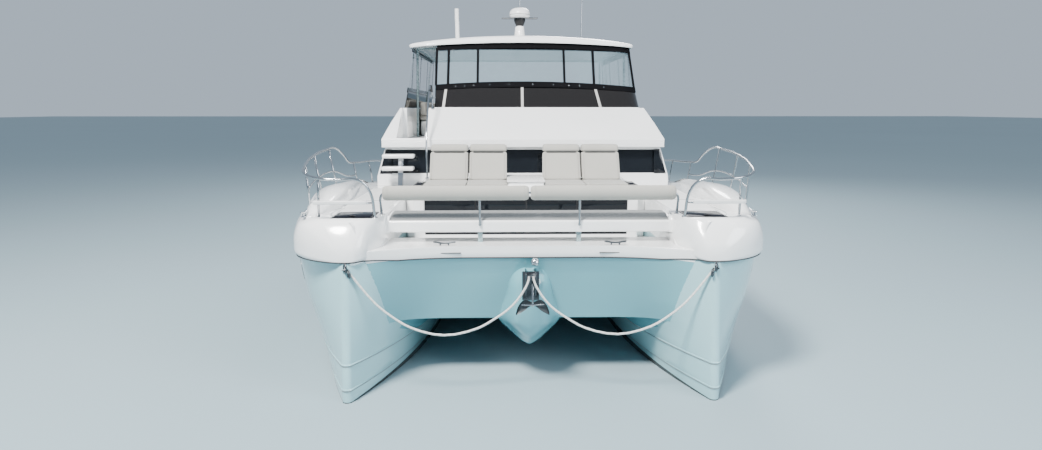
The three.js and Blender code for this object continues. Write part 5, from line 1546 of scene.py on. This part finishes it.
# Steps up to the flybridge: two sides, first and last place along the boat, height
FORE_TREADS = ((-2.49, -1.925, -2.65, -2.43, 2.62), (-2.485, -1.92, -2.56, -2.34, 2.83))
SPINE_X0, SPINE_X1 = -2.21, -2.12
SPINE = ((-2.64, DECK_BOW_Z + 0.005), (-2.56, DECK_BOW_Z + 0.005), (-2.38, 2.8), (-2.46, 2.8))
HANDRAIL = (
    (-1.69, -2.62, TRUNK_Z), (-1.7, -2.56, 3.0), (-1.705, -2.25, 3.5), (-1.705, -1.85, 3.93),
    (-1.7, -1.62, 4.03), (-1.695, -1.52, 3.93), (-1.69, -1.5, BROW_TOP_Z),
)


def make_fore_stair():
    """Two floating treads on a steel spine, and the tall handrail beside them."""
    treads = []
    for x0, x1, y0, y1, z in FORE_TREADS:
        treads.append(soft_slab((x0, y0, z - 0.07), (x1, y1, z), 0.05))
    spine = slab(SPINE, SPINE_X0, SPINE_X1)
    round_edges(spine, 0.008, 3)
    foot = soft_slab((SPINE_X0 - 0.03, -2.67, DECK_BOW_Z + GAP),
                     (SPINE_X1 + 0.03, -2.49, DECK_BOW_Z + 0.014), 0.01)
    keep(union(treads), "fore_stair_treads", GELCOAT, "boat", ("fore_stair",))
    keep(union([spine, foot]), "fore_stair_spine", STEEL)
    feet = [foot_plate((x, y, z + 0.002)) for x, y, z in (HANDRAIL[0], HANDRAIL[-1])]
    rail = union([tube(HANDRAIL, 0.016), *feet])
    keep(rail, "fore_stair_handrail", STEEL, "boat", ("stair_rail",))
    keep(tube(HANDRAIL[3:6], 0.021), "handrail_grip", BLACK)


# Treads of the flybridge sole: two sides, first and last place along the boat
FLY_TREADS = ((-1.4, 1.25, -1.36, 2.5), (-2.05, 1.22, 2.6, 4.5))


def make_flybridge():
    """Flybridge deck and coaming, its treads and its guard rail."""
    polish("fly_deck", GELCOAT, 0.03, segments=4)
    polish("fly_coaming", GELCOAT, 0.035, segments=5)
    treads = []
    for x0, x1, y0, y1 in FLY_TREADS:
        treads.append(block((x0, y0, FLY_SOLE_Z - 0.005), (x1, y1, FLY_SOLE_Z + TREAD_PROUD)))
    tread = union(treads)
    round_edges(tread, 0.0015, 1)
    keep(tread, "fly_sole_tread", TREAD)
    make_fly_rail()


# Screens. Rows: height, half width of the sides, place of the front face
SCREEN = ((3.6304, 2.255, -1.43), (4.065, 2.215, -1.19), (4.8396, 2.15, -0.74))
SCREEN_SPLIT_Z = 4.065
SCREEN_AFT_Y = 3.6
SCREEN_CORNER = 0.3
GATE_X = -1.655
# Canvas uprights of the front curtain: place across the boat, half width
UPRIGHTS = ((-1.65, 0.022), (-1.42, 0.024), (-0.852, 0.022), (0.816, 0.022), (1.385, 0.024))
SIDE_UPRIGHTS_Y = (-0.3, 1.0, 2.3, 3.57)
SNAPS_X = (-1.27, -1.1, -0.93, -0.62, -0.25, 0.2, 0.6, 0.9, 1.1, 1.57)
# Pale supports of the smoked screen: place across the boat at the foot and at the head
SUPPORTS = ((-1.495, -1.455), (0.0, 0.0), (1.485, 1.405))
STRIP_LEVELS = 6


def screen_at(z):
    """Half width of the screens and place of their front face at a height."""
    low, high = (SCREEN[0], SCREEN[1]) if z <= SCREEN_SPLIT_Z else (SCREEN[1], SCREEN[2])
    t = (z - low[0]) / (high[0] - low[0])
    return lerp(low[1], high[1], t), lerp(low[2], high[2], t)


# How far the sides hang below the middle at the split and at the hardtop, and the middle's rise there
SPLIT_FALL, TOP_FALL, TOP_LIFT = 0.11, 0.09, 0.05


def arch(piece):
    """Lowers a flybridge form toward its sides, as the real screens and roof are arched."""
    for vertex in piece.data.vertices:
        x, _, z = vertex.co
        share = min(1.0, abs(x) / HARDTOP_X) ** 2
        if z < SCREEN_SPLIT_Z:
            lift, fall = 0.0, SPLIT_FALL * unit((z - SCREEN[0][0]) / (SCREEN_SPLIT_Z - SCREEN[0][0]))
        else:
            t = unit((z - SCREEN_SPLIT_Z) / (HARDTOP_Z - SCREEN_SPLIT_Z))
            lift, fall = TOP_LIFT * t, lerp(SPLIT_FALL, TOP_FALL, t)
        vertex.co.z = z + lift - fall * share
    return piece


def corner_place(z, grow, angle):
    """Place on the rounded port corner of the screen, set off outward by grow."""
    x, y = screen_at(z)
    reach = SCREEN_CORNER + grow
    return (x - SCREEN_CORNER + reach * math.sin(angle), y + SCREEN_CORNER - reach * math.cos(angle), z)


def screen_line(z, grow):
    """Plan line of the screen at a height: along the front, round the port corner, and aft."""
    x, y = screen_at(z)
    line = [(lerp(GATE_X, x - SCREEN_CORNER, i / 8), y - grow, z) for i in range(9)]
    line += [corner_place(z, grow, math.pi / 2 * i / 12) for i in range(1, 12)]
    return line + [(x + grow, lerp(y + SCREEN_CORNER, SCREEN_AFT_Y, i / 8), z) for i in range(9)]


def strip_levels(z0, z1):
    return [lerp(z0, z1, i / STRIP_LEVELS) for i in range(STRIP_LEVELS + 1)]


def screen_skin(z0, z1, off, thick):
    """Front and port side of the screen between two heights, set off outward."""
    return loft([screen_line(z, off + thick) + screen_line(z, off)[::-1] for z in strip_levels(z0, z1)])


def side_skin(z0, z1, off, thick):
    """The starboard side of the screen, behind the gate."""
    rings = []
    for place in range(9):
        ring = []
        for z, o in ((z0, off), (z1, off), (z1, off + thick), (z0, off + thick)):
            x, y = screen_at(z)
            ring.append((-x - o, lerp(y + 0.275, SCREEN_AFT_Y, place / 8), z))
        rings.append(ring)
    return loft(rings)


def front_strip(foot, head, width, z0, z1, off, thick):
    """A strip up the front screen, from one place across the boat to another."""
    rings = []
    for i, z in enumerate(strip_levels(z0, z1)):
        x = lerp(foot, head, i / STRIP_LEVELS)
        _, y = screen_at(z)
        inner, outer = y - off, y - off - thick
        left, right = x - width, x + width
        rings.append([(left, inner, z), (right, inner, z), (right, outer, z), (left, outer, z)])
    return loft(rings)


def corner_strip(z0, z1, off, thick):
    """The upright band of canvas round the port front corner."""
    angles = [math.radians(degrees) for degrees in (52, 60, 68, 76)]
    rings = []
    for z in strip_levels(z0, z1):
        inner = [corner_place(z, off, angle) for angle in angles]
        outer = [corner_place(z, off + thick, angle) for angle in angles[::-1]]
        rings.append(inner + outer)
    return loft(rings)


def side_strip(side, y, width, z0, z1, off, thick):
    """An upright strip on one side of the curtains."""
    rings = []
    for z in strip_levels(z0, z1):
        x, _ = screen_at(z)
        inner, outer = side * (x + off), side * (x + (off + thick))
        front, back = y - width, y + width
        rings.append([(inner, front, z), (inner, back, z), (outer, back, z), (outer, front, z)])
    return loft(rings)


def make_screens():
    """Smoked screens with clear curtains above them, in a black canvas frame."""
    top, low, split = HARDTOP_Z - GAP, SCREEN[0][0], SCREEN_SPLIT_Z
    sheets = (
        ("smoked_screen_front", screen_skin, low, split - GAP, 0.012, "windscreen_front"),
        ("smoked_screen_starboard", side_skin, low, split - GAP, 0.012, "windscreen_starboard"),
        ("clear_curtain_front", screen_skin, split, top, 0.006, "curtain_front"),
        ("clear_curtain_starboard", side_skin, split, top, 0.006, "curtain_starboard"),
    )
    for name, skin, z0, z1, thick, replaced in sheets:
        sheet = arch(skin(z0, z1, 0.0, thick))
        smooth(sheet, 40)
        material, slot = (SCREEN_TINT, "tinted_glass") if z0 == low else (VINYL, "clear_vinyl")
        keep(sheet, name, material, "boat", (replaced,))
    make_canvas(split, top)
    z = split + 0.012
    _, y = screen_at(split + 0.01)
    snaps = [ball((x, y - 0.027, z), 0.012, 12) for x in SNAPS_X]
    keep(arch(union(snaps)), "curtain_snaps", CHROME)
    supports = [front_strip(foot, head, 0.024, low, split - 0.03, 0.013, 0.006) for foot, head in SUPPORTS]
    keep(arch(union(supports)), "screen_supports", SUPPORT)
    sill = screen_skin(low - 0.02, low + 0.012, 0.0, 0.025)
    smooth(sill, 40)
    keep(sill, "screen_sill", GELCOAT)


def make_canvas(split, top):
    """Black bands along the curtains' head and foot, and the uprights between them."""
    foot, head = split + 0.05, top - 0.04
    bands = [
        screen_skin(top - 0.1, top, 0.013, 0.012), side_skin(top - 0.06, top, 0.013, 0.012),
        screen_skin(split - 0.035, split + 0.065, 0.013, 0.012),
        side_skin(split - 0.035, split + 0.065, 0.013, 0.012), corner_strip(foot, head, 0.012, 0.01),
    ]
    bands += [front_strip(x, x, width, foot, head, 0.012, 0.01) for x, width in UPRIGHTS]
    for y in SIDE_UPRIGHTS_Y:
        bands += [side_strip(side, y, 0.025, foot, head, 0.012, 0.01) for side in (-1, 1)]
    canvas = arch(union(bands))
    smooth(canvas, 35)
    keep(canvas, "curtain_canvas", CANVAS, "boat", ("curtain_frame",))


# Hardtop. Rows: y, share of width, share of height
HARDTOP_STATIONS = (
    (-0.82, 0.8, 0.35), (-0.76, 0.93, 0.8), (-0.56, 1.0, 1.0), (1.7, 1.0, 1.15), (4.05, 0.98, 1.0),
    (4.25, 0.9, 0.5),
)
HARDTOP_SECTION = ((1.0, 0.0), (1.005, 0.04), (0.97, 0.078), (0.75, 0.115), (0.4, 0.14), (0.0, 0.15))
HARDTOP_UNDER = (0.0, 0.3, 0.6, 0.85)
HARDTOP_X = 2.21
MAST_Y = 1.2
# Antennas: name, place across the boat, length, radius
ANTENNAS = (("stub_antenna", -1.38, 0.8, 0.046), ("whip_antenna", 1.37, 2.35, 0.012))


def make_hardtop():
    """Crowned roof with its tubes and the two antennas on it."""
    section = curve_through(HARDTOP_SECTION, 5)
    rings = []
    for y, wide, high in curve_through(HARDTOP_STATIONS, 7):
        half = [(x * wide * HARDTOP_X, y, HARDTOP_Z + z * high) for x, z in section]
        under = [(x * wide * HARDTOP_X, y, HARDTOP_Z) for x in HARDTOP_UNDER]
        ring = half + [(-x, py, z) for x, py, z in half[:-1][::-1]]
        rings.append(ring + [(-x, py, z) for x, py, z in under[:0:-1]] + under)
    top = arch(loft(rings))
    round_edges(top, 0.02, 4, 50)
    keep(top, "hardtop_moulding", GELCOAT, "boat", ("hardtop",))
    tubes = copy_of("hardtop_frame")
    smooth(tubes, 50)
    keep(tubes, "hardtop_tubes", POST_TINT_AND_REFLECTION, "boat", ("hardtop_frame",))
    for name, x, length, radius in ANTENNAS:
        z = hardtop_top(x)
        foot_line = [(x, MAST_Y, z - 0.02), (x, MAST_Y, z + 0.08)]
        rod_line = [(x, MAST_Y, z + 0.06), (x * 1.01, MAST_Y, z + length)]
        foot = tube(foot_line, radius + 0.014, curved=False, sides=5)
        rod = tube(rod_line, radius, curved=False, sides=5)
        antenna = union([foot, rod])
        round_edges(antenna, 0.006, 2, 50)
        keep(antenna, name, WHITE_PLASTIC if radius > 0.02 else STEEL)


def hardtop_top(x):
    """Height of the arched roof's skin beside the mast."""
    before, after = HARDTOP_STATIONS[2], HARDTOP_STATIONS[3]
    high = lerp(before[2], after[2], (MAST_Y - before[0]) / (after[0] - before[0]))
    share = abs(x) / HARDTOP_X
    for (a, za), (b, zb) in zip(HARDTOP_SECTION[1:], HARDTOP_SECTION[2:]):
        if b <= share <= a:
            top = HARDTOP_Z + high * lerp(za, zb, (a - share) / (a - b))
            return top + TOP_LIFT - TOP_FALL * share ** 2
    return HARDTOP_Z


# Mast foot: height, half width, half length
MAST_FOOT = ((4.99, 0.15, 0.2), (5.1, 0.135, 0.19), (5.25, 0.115, 0.15), (5.4, 0.1, 0.12), (5.42, 0.075, 0.1))
# Turned pieces on the mast: radius, height over the piece's own foot
MAST_CONE = ((0.0, 0.0), (0.07, 0.0), (0.085, 0.03), (0.115, 0.1), (0.125, 0.13), (0.125, 0.165), (0.0, 0.17))
RADAR_DOME = (
    (0.0, 0.0), (0.2, 0.0), (0.222, 0.02), (0.226, 0.06), (0.22, 0.1), (0.2, 0.145), (0.165, 0.178),
    (0.12, 0.194), (0.06, 0.203), (0.0, 0.205),
)
DOME_BAND = ((0.2, 0.0), (0.2275, 0.006), (0.2275, 0.012), (0.2, 0.018))
LAMP = ((0.0, 0.0), (0.03, 0.0), (0.034, 0.01), (0.03, 0.05), (0.02, 0.068), (0.0, 0.07))
CONE_Z = 5.41
# Platform under the dome: half width, half length, upper side
WING_X, WING_Y, WING_Z = 0.4, 0.12, 5.6
DOME_Y = MAST_Y - 0.09
POLE_Y, POLE_TOP_Z = MAST_Y + 0.1, 6.08


def make_mast():
    """Foot, cone and platform of the mast with the radar dome and the light on its pole."""
    rings = []
    for z, x, y in MAST_FOOT:
        rings.append([(x * math.cos(a), MAST_Y + y * math.sin(a), z) for a in turns(32)])
    foot = loft(rings)
    smooth(foot, 40)
    keep(foot, "mast_foot", GELCOAT, "boat", ("mast",))
    keep(lathe(MAST_CONE, (0.0, MAST_Y, CONE_Z)), "mast_camera", BLACK)
    wing = soft_slab((-WING_X, MAST_Y - WING_Y, WING_Z - 0.016), (WING_X, MAST_Y + WING_Y, WING_Z), 0.012)
    keep(wing, "mast_wing", DARK_STEEL)
    keep(lathe(RADAR_DOME, (0.0, DOME_Y, WING_Z - 0.001)), "radar_dome", WHITE_PLASTIC)
    keep(lathe(DOME_BAND, (0.0, DOME_Y, WING_Z + 0.045)), "radar_dome_seam", BLACK)
    pole = tube([(0, POLE_Y, WING_Z - 0.01), (0, POLE_Y, POLE_TOP_Z)], 0.014, curved=False)
    keep(pole, "light_pole", STEEL)
    keep(lathe(LAMP, (0.0, POLE_Y, POLE_TOP_Z - 0.005)), "anchor_light", WHITE_PLASTIC)


# Helm, seats, cockpit and stern
# What is cut off the console to clear the smoked screen, and its dash panel, as profiles in y and z
CONSOLE_CUT = ((-1.6, 3.4), (-1.36, 3.5), (-1.1, 4.0), (-0.99, 4.2), (-1.6, 4.2))
DASH = ((-1.045, 4.045), (-0.8, 3.905), (-0.795, 3.915), (-1.04, 4.056))
WHEEL_RADIUS, WHEEL_RIM = 0.19, 0.015
WHEEL_PLACE, WHEEL_RAKE = (0.8, -0.64, 3.84), 65
WHEEL_HUB = ((0.0, -0.104), (0.033, -0.104), (0.035, 0.0), (0.03, 0.012), (0.0, 0.014))


def make_helm():
    """Console with its dash and the three-spoked wheel, built flat and then raked to its shaft."""
    console = copy_of("helm_console")
    cut(console, slab(CONSOLE_CUT, 0.1, 1.5))
    round_edges(console, 0.03, 4)
    keep(console, "helm_console_moulding", GELCOAT, "boat", ("helm_console",))
    dash = slab(DASH, 0.2, 1.4)
    round_edges(dash, 0.003, 2)
    keep(dash, "helm_dash_panel", BLACK)
    clear()
    bpy.ops.mesh.primitive_torus_add(major_radius=WHEEL_RADIUS, minor_radius=WHEEL_RIM, major_segments=64,
                                     minor_segments=14)
    parts = [bpy.context.object]
    for n in range(3):
        turn = 2 * math.pi * n / 3 + math.pi / 6
        end = (WHEEL_RADIUS * math.cos(turn), WHEEL_RADIUS * math.sin(turn), 0)
        parts.append(tube([(0, 0, 0), end], 0.009, curved=False))
    parts.append(lathe(WHEEL_HUB, (0, 0, 0)))
    wheel = union(parts)
    pick(wheel)
    bpy.ops.transform.rotate(value=math.radians(WHEEL_RAKE), orient_axis="X", orient_type="GLOBAL",
                             center_override=(0, 0, 0))
    bpy.ops.transform.translate(value=WHEEL_PLACE)
    bpy.ops.object.transform_apply(location=True, rotation=True, scale=True)
    smooth(wheel, 50)
    keep(wheel, "wheel_rim_and_spokes", BLACK, "helm_wheel", ("helm_wheel",))


# Seats of the flybridge: height of their bases and of the sitting cushions
SEAT_BASE_Z, LOUNGE_SEAT_Z, LOUNGE_BACK_Z = 3.36, 3.47, 3.75
HELM_SQUABS_X = ((0.25, 0.795), (0.805, 1.35))
# Lounge cushions: two sides, first and last place along the boat
LOUNGE_SQUABS = ((-2.15, -1.5, 0.3, 1.27), (-2.15, -1.5, 1.28, 2.59), (-2.15, -0.95, 2.6, 3.2),
                 (-0.94, 0.2, 2.6, 3.2))
# Lounge backs: the same, and the axis along which each one is thin
LOUNGE_BACKS = ((-2.15, -2.0, 0.3, 1.6, 0), (-2.15, -2.0, 1.61, 3.07, 0), (-2.15, -0.95, 3.08, 3.2, 1),
                (-0.94, 0.2, 3.08, 3.2, 1))


def make_seats():
    """Helm bench and the corner lounge behind it."""
    low = FLY_SOLE_Z + 0.001
    base = soft_box((0.25, 0.1, low), (1.35, 0.6, SEAT_BASE_Z), 0.05, 0.0)
    keep(base, "helm_seat_base", GELCOAT)
    for index, (x0, x1) in enumerate(HELM_SQUABS_X):
        squab = soft_box((x0, 0.1, SEAT_BASE_Z), (x1, 0.62, 3.48), 0.04, 0.015)
        keep_soft(squab, "helm_squab_%d" % index, ("helm_seat",) if index == 0 else ())
        rest = soft_box((x0, 0.565, 3.4), (x1, 0.7, 4.05), 0.045, 0.015, axis=1)
        keep_soft(rest, "helm_backrest_%d" % index, ())
    bases = union([soft_box((-2.14, 0.3, low), (-1.52, 3.2, SEAT_BASE_Z), 0.04, 0.0),
                   soft_box((-2.1, 2.62, low), (0.2, 3.19, SEAT_BASE_Z), 0.04, 0.0)])
    keep(bases, "fly_lounge_base", GELCOAT)
    rows = [row + (2, SEAT_BASE_Z, LOUNGE_SEAT_Z) for row in LOUNGE_SQUABS]
    rows += [row + (LOUNGE_SEAT_Z, LOUNGE_BACK_Z) for row in LOUNGE_BACKS]
    for index, (x0, x1, y0, y1, axis, z0, z1) in enumerate(rows):
        cushion = soft_box((x0, y0, z0), (x1, y1, z1), 0.035, 0.012, axis=axis)
        keep_soft(cushion, "fly_lounge_cushion_%d" % index, ("fly_lounge",) if index == 0 else ())


# Cockpit seat: first and last place along the boat, its base's height, and its cushions' sides
COCKPIT_SEAT_Y0, COCKPIT_SEAT_Y1, COCKPIT_BASE_Z = 4.56, 5.155, 1.29
COCKPIT_SQUABS_X = ((-1.289, -0.433), (-0.427, 0.427), (0.433, 1.289))
# Aft stair: number of rises, place of the lowest tread's edge, and the going of each
STAIR_RISES, STAIR_FOOT_Y, STAIR_GOING = 8, 4.48, 0.18
STAIR_X0, STAIR_X1 = 1.46, 2.03


def make_cockpit():
    """Cockpit with its tread, the three-seat bench and the stair to the flybridge."""
    polish("cockpit", GELCOAT, 0.02)
    tread = block((-2.7, 3.0, SOLE_Z - 0.005), (2.7, 4.5, SOLE_Z + TREAD_PROUD))
    keep(tread, "cockpit_sole_tread", TREAD)
    low = SOLE_Z + 0.001
    reach = COCKPIT_SQUABS_X[-1][1]
    base = soft_box((-reach, COCKPIT_SEAT_Y0, low), (reach, COCKPIT_SEAT_Y1, COCKPIT_BASE_Z), 0.03, 0.0)
    keep(base, "cockpit_seat_base", GELCOAT)
    for index, (x0, x1) in enumerate(COCKPIT_SQUABS_X):
        squab = soft_box((x0, COCKPIT_SEAT_Y0, COCKPIT_BASE_Z), (x1, 5.12, 1.4), 0.035, 0.012)
        keep_soft(squab, "cockpit_cushion_%d" % index, ("cockpit_seat",) if index == 0 else ())
        back = soft_box((x0, 5.02, 1.39), (x1, 5.158, 1.76), 0.035, 0.012, axis=1)
        keep_soft(back, "cockpit_back_%d" % index, ())
    polish("aft_stair", GELCOAT, 0.012)
    treads = []
    for n in range(1, STAIR_RISES):
        y = STAIR_FOOT_Y - (n - 1) * STAIR_GOING
        z = SOLE_Z + (FLY_SOLE_Z - SOLE_Z) / STAIR_RISES * n
        low, high = (STAIR_X0, y - STAIR_GOING - 0.01, z - 0.01), (STAIR_X1, y - 0.02, z + TREAD_PROUD)
        treads.append(block(low, high))
    keep(union(treads), "aft_stair_treads", TREAD)


# Underwater gear
def make_gear(word):
    """Propeller, rudder and engine of one side."""
    propeller = copy_of("propeller_" + word)
    round_edges(propeller, 0.004, 2, 34, 45)
    keep(propeller, "propeller_blades_" + word, BRONZE, "propeller_" + word, ("propeller_" + word,))
    rudder = copy_of("rudder_" + word)
    round_edges(rudder, 0.006, 2)
    keep(rudder, "rudder_blade_" + word, ANTIFOUL, "rudder_" + word, ("rudder_" + word,))
    engine = copy_of("engine_" + word)
    round_edges(engine, 0.02, 3)
    keep(engine, "engine_block_" + word, ENGINE_PAINT, "boat", ("engine_" + word,))


# Anchor gear and bridle
BRIDLE = (
    (2.291, -6.408, 1.7026), (2.288, -6.408, 1.69), (2.22, -6.4, 1.594), (1.94, -6.38, 1.228),
    (1.759, -6.37, 1.068), (1.513, -6.36, 0.909), (1.1, -6.335, 0.8), (0.684, -6.305, 0.877),
    (0.456, -6.29, 1.002), (0.24, -6.28, 1.164), (0.07, -6.27, 1.399), (0.032, -6.262, 1.5),
    (0.028, -6.26, 1.5402),
)
ROPE_RADIUS = 0.014
# Links of the bow shackle: offset outward and up from the eye, width, half height
SHACKLE_PLACE = (2.291, -6.408, 1.7)
SHACKLE_LINKS = ((0.0, -0.012, 0.044, 0.05), (-0.045, -0.085, 0.034, 0.042))


def make_bridle(side, word):
    """One white rope from the bow eye to the anchor bracket, and the shackle at its eye."""
    route = [(side * x, y, z) for x, y, z in BRIDLE]
    data = bpy.data.curves.new("bridle_rope_" + word, "CURVE")
    data.dimensions, data.bevel_depth, data.bevel_resolution, data.use_fill_caps = "3D", ROPE_RADIUS, 4, True
    line = route_through(route, 3)
    spline = data.splines.new("POLY")
    spline.points.add(len(line) - 1)
    for knot, place in zip(spline.points, line):
        knot.co = (*place, 1)
    rope = bpy.data.objects.new("bridle_rope_" + word, data)
    bpy.context.collection.objects.link(rope)
    rope.data.materials.append(ROPE)
    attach(rope, "boat")
    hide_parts("bridle_" + word)
    length = sum((b - a).length for a, b in zip(line, line[1:]))
    make_shackle(side, word)


def make_shackle(side, word):
    """Two links and a pin that tie the rope to the bow eye."""
    x, y, z = side * SHACKLE_PLACE[0], SHACKLE_PLACE[1], SHACKLE_PLACE[2]
    parts = []
    for dx, dz, wide, high in SHACKLE_LINKS:
        ring = []
        for a in turns(24):
            swing = wide * math.sin(a)
            ring.append((x + side * (dx + 0.5 * swing), y - 0.012 + 0.8 * swing, z + dz + high * math.cos(a)))
        parts.append(tube(ring, 0.0125, closed=True, curved=False))
    parts.append(tube([(x - 0.04, y, z - 0.035), (x + 0.04, y, z - 0.035)], 0.011, curved=False))
    keep(union(parts), "bow_shackle_" + word, DARK_STEEL)


STEM_LIGHT = ((0.0, 0.0), (0.05, 0.0), (0.058, 0.01), (0.056, 0.04), (0.04, 0.075), (0.02, 0.088),
              (0.0, 0.09))
STEM_LIGHT_PLACE = (0.06, -5.96, 1.62)
ANCHOR_X, ANCHOR_Y = 0.02, -6.24
# Outline of one blade: place across from the shank, lower and upper edge
ANCHOR_BLADE = (
    (0.0, 1.16, 1.195), (0.03, 1.15, 1.208), (0.06, 1.13, 1.226), (0.098, 1.1, 1.236), (0.14, 1.075, 1.215),
    (0.18, 1.055, 1.165), (0.205, 1.045, 1.1), (0.213, 1.043, 1.062),
)
BLADE_HALF, BLADE_HOLLOW, BLADE_SWEEP = 0.008, 0.03, 0.2
SHANK = ((-6.262, 1.14), (-6.24, 1.14), (-6.12, 1.44), (-6.15, 1.46), (-6.235, 1.3))
SHANK_HALF = 0.012
ROLL_BAR = ((-0.125, -6.275, 1.176), (0.02, -6.27, 1.17), (0.165, -6.275, 1.18))
# Black plate painted as the shade of the opening the anchor draws into: half width, face, lower and upper end
ANCHOR_SLOT_X, ANCHOR_SLOT_Y, ANCHOR_SLOT_Z0, ANCHOR_SLOT_Z1 = 0.08, -6.055, 1.21, 1.5


def anchor_blade(side):
    """One hollowed blade that sweeps forward from the shank."""
    shares = [k / 4 for k in range(5)]
    rings = []
    for x, low, high in curve_through(ANCHOR_BLADE, 5):
        ring = []
        for off, ups in ((-BLADE_HALF, shares), (BLADE_HALF, shares[::-1])):
            for up in ups:
                hollow = BLADE_HOLLOW * math.sin(math.pi * up) * min(1.0, x / 0.1)
                y = ANCHOR_Y - BLADE_SWEEP * x + hollow + off
                ring.append((ANCHOR_X + side * x, y, lerp(low, high, up)))
        rings.append(ring)
    return loft(rings)


def make_anchor_gear():
    """Bracket and a black plate painted as the shade of its opening, the anchor drawn up into them, and the
    light over it.
    """
    polish("anchor_roller", DARK_STEEL, 0.004, segments=2, name="anchor_bracket")
    keep(lathe(STEM_LIGHT, STEM_LIGHT_PLACE), "stem_light", CHROME)
    blades = union([anchor_blade(side) for side in (-1, 1)])
    smooth(blades, 40)
    keep(blades, "anchor_blades", GALVANISED, "boat", ("anchor",))
    shank = slab(SHANK, ANCHOR_X - SHANK_HALF, ANCHOR_X + SHANK_HALF)
    round_edges(shank, 0.004, 2)
    keep(union([shank, tube(ROLL_BAR, 0.009)]), "anchor_shank", STEEL)
    # Painted shade: a thin black plate where the anchor's opening is dark.
    slot = block((-ANCHOR_SLOT_X, ANCHOR_SLOT_Y - 0.003, ANCHOR_SLOT_Z0),
                 (ANCHOR_SLOT_X, ANCHOR_SLOT_Y + 0.003, ANCHOR_SLOT_Z1))
    round_edges(slot, 0.002, 1)
    keep(slot, "anchor_recess_shadow", BLACK)


def make_boat():
    for side, word in SIDES:
        make_bridle(side, word)
    for side, word in SIDES:
        make_hull(side, word)
        make_hull_windows(side, word)
        make_deck(side, word)
        make_bow_hatch(side, word)
        make_bow_rail(side, word)
        make_bolster(side, word)
        make_lounge(side, word)
        make_gear(word)
    make_bridgedeck()
    make_foredeck()
    make_bench()
    make_front_rail()
    make_trunk()
    make_house()
    make_fore_stair()
    make_flybridge()
    make_screens()
    make_hardtop()
    make_mast()
    make_helm()
    make_seats()
    make_cockpit()
    make_anchor_gear()


def make_stage():
    """Pale floor at the waterline, an even sky and soft light."""
    finish = Finish("studio_floor", FLOOR_TONE, 0.6)
    cloud = range_to(finish.noise(0.05, 2.0), 0.3, 0.7, 0.0, 1.0)
    finish.set("Base Color", finish.mix(cloud, FLOOR_TONE, shade(FLOOR_TONE, 0.96)))
    ends = ((-FLOOR_X, FLOOR_Y0), (FLOOR_X, FLOOR_Y0), (FLOOR_X, FLOOR_Y1), (-FLOOR_X, FLOOR_Y1))
    floor = mesh_piece([(x, y, 0) for x, y in ends], [(0, 1, 2, 3)], "floor")
    floor.data.materials.append(finish.material)
    world = bpy.data.worlds.new("soft_sky")
    bpy.context.scene.world = world
    world.use_nodes = True
    back = world.node_tree.nodes["Background"]
    back.inputs["Color"].default_value = SKY_TONE
    back.inputs["Strength"].default_value = SKY_STRENGTH
    for light in LIGHTS:
        area_light(*light)


set_camera()
make_boat()
make_stage()
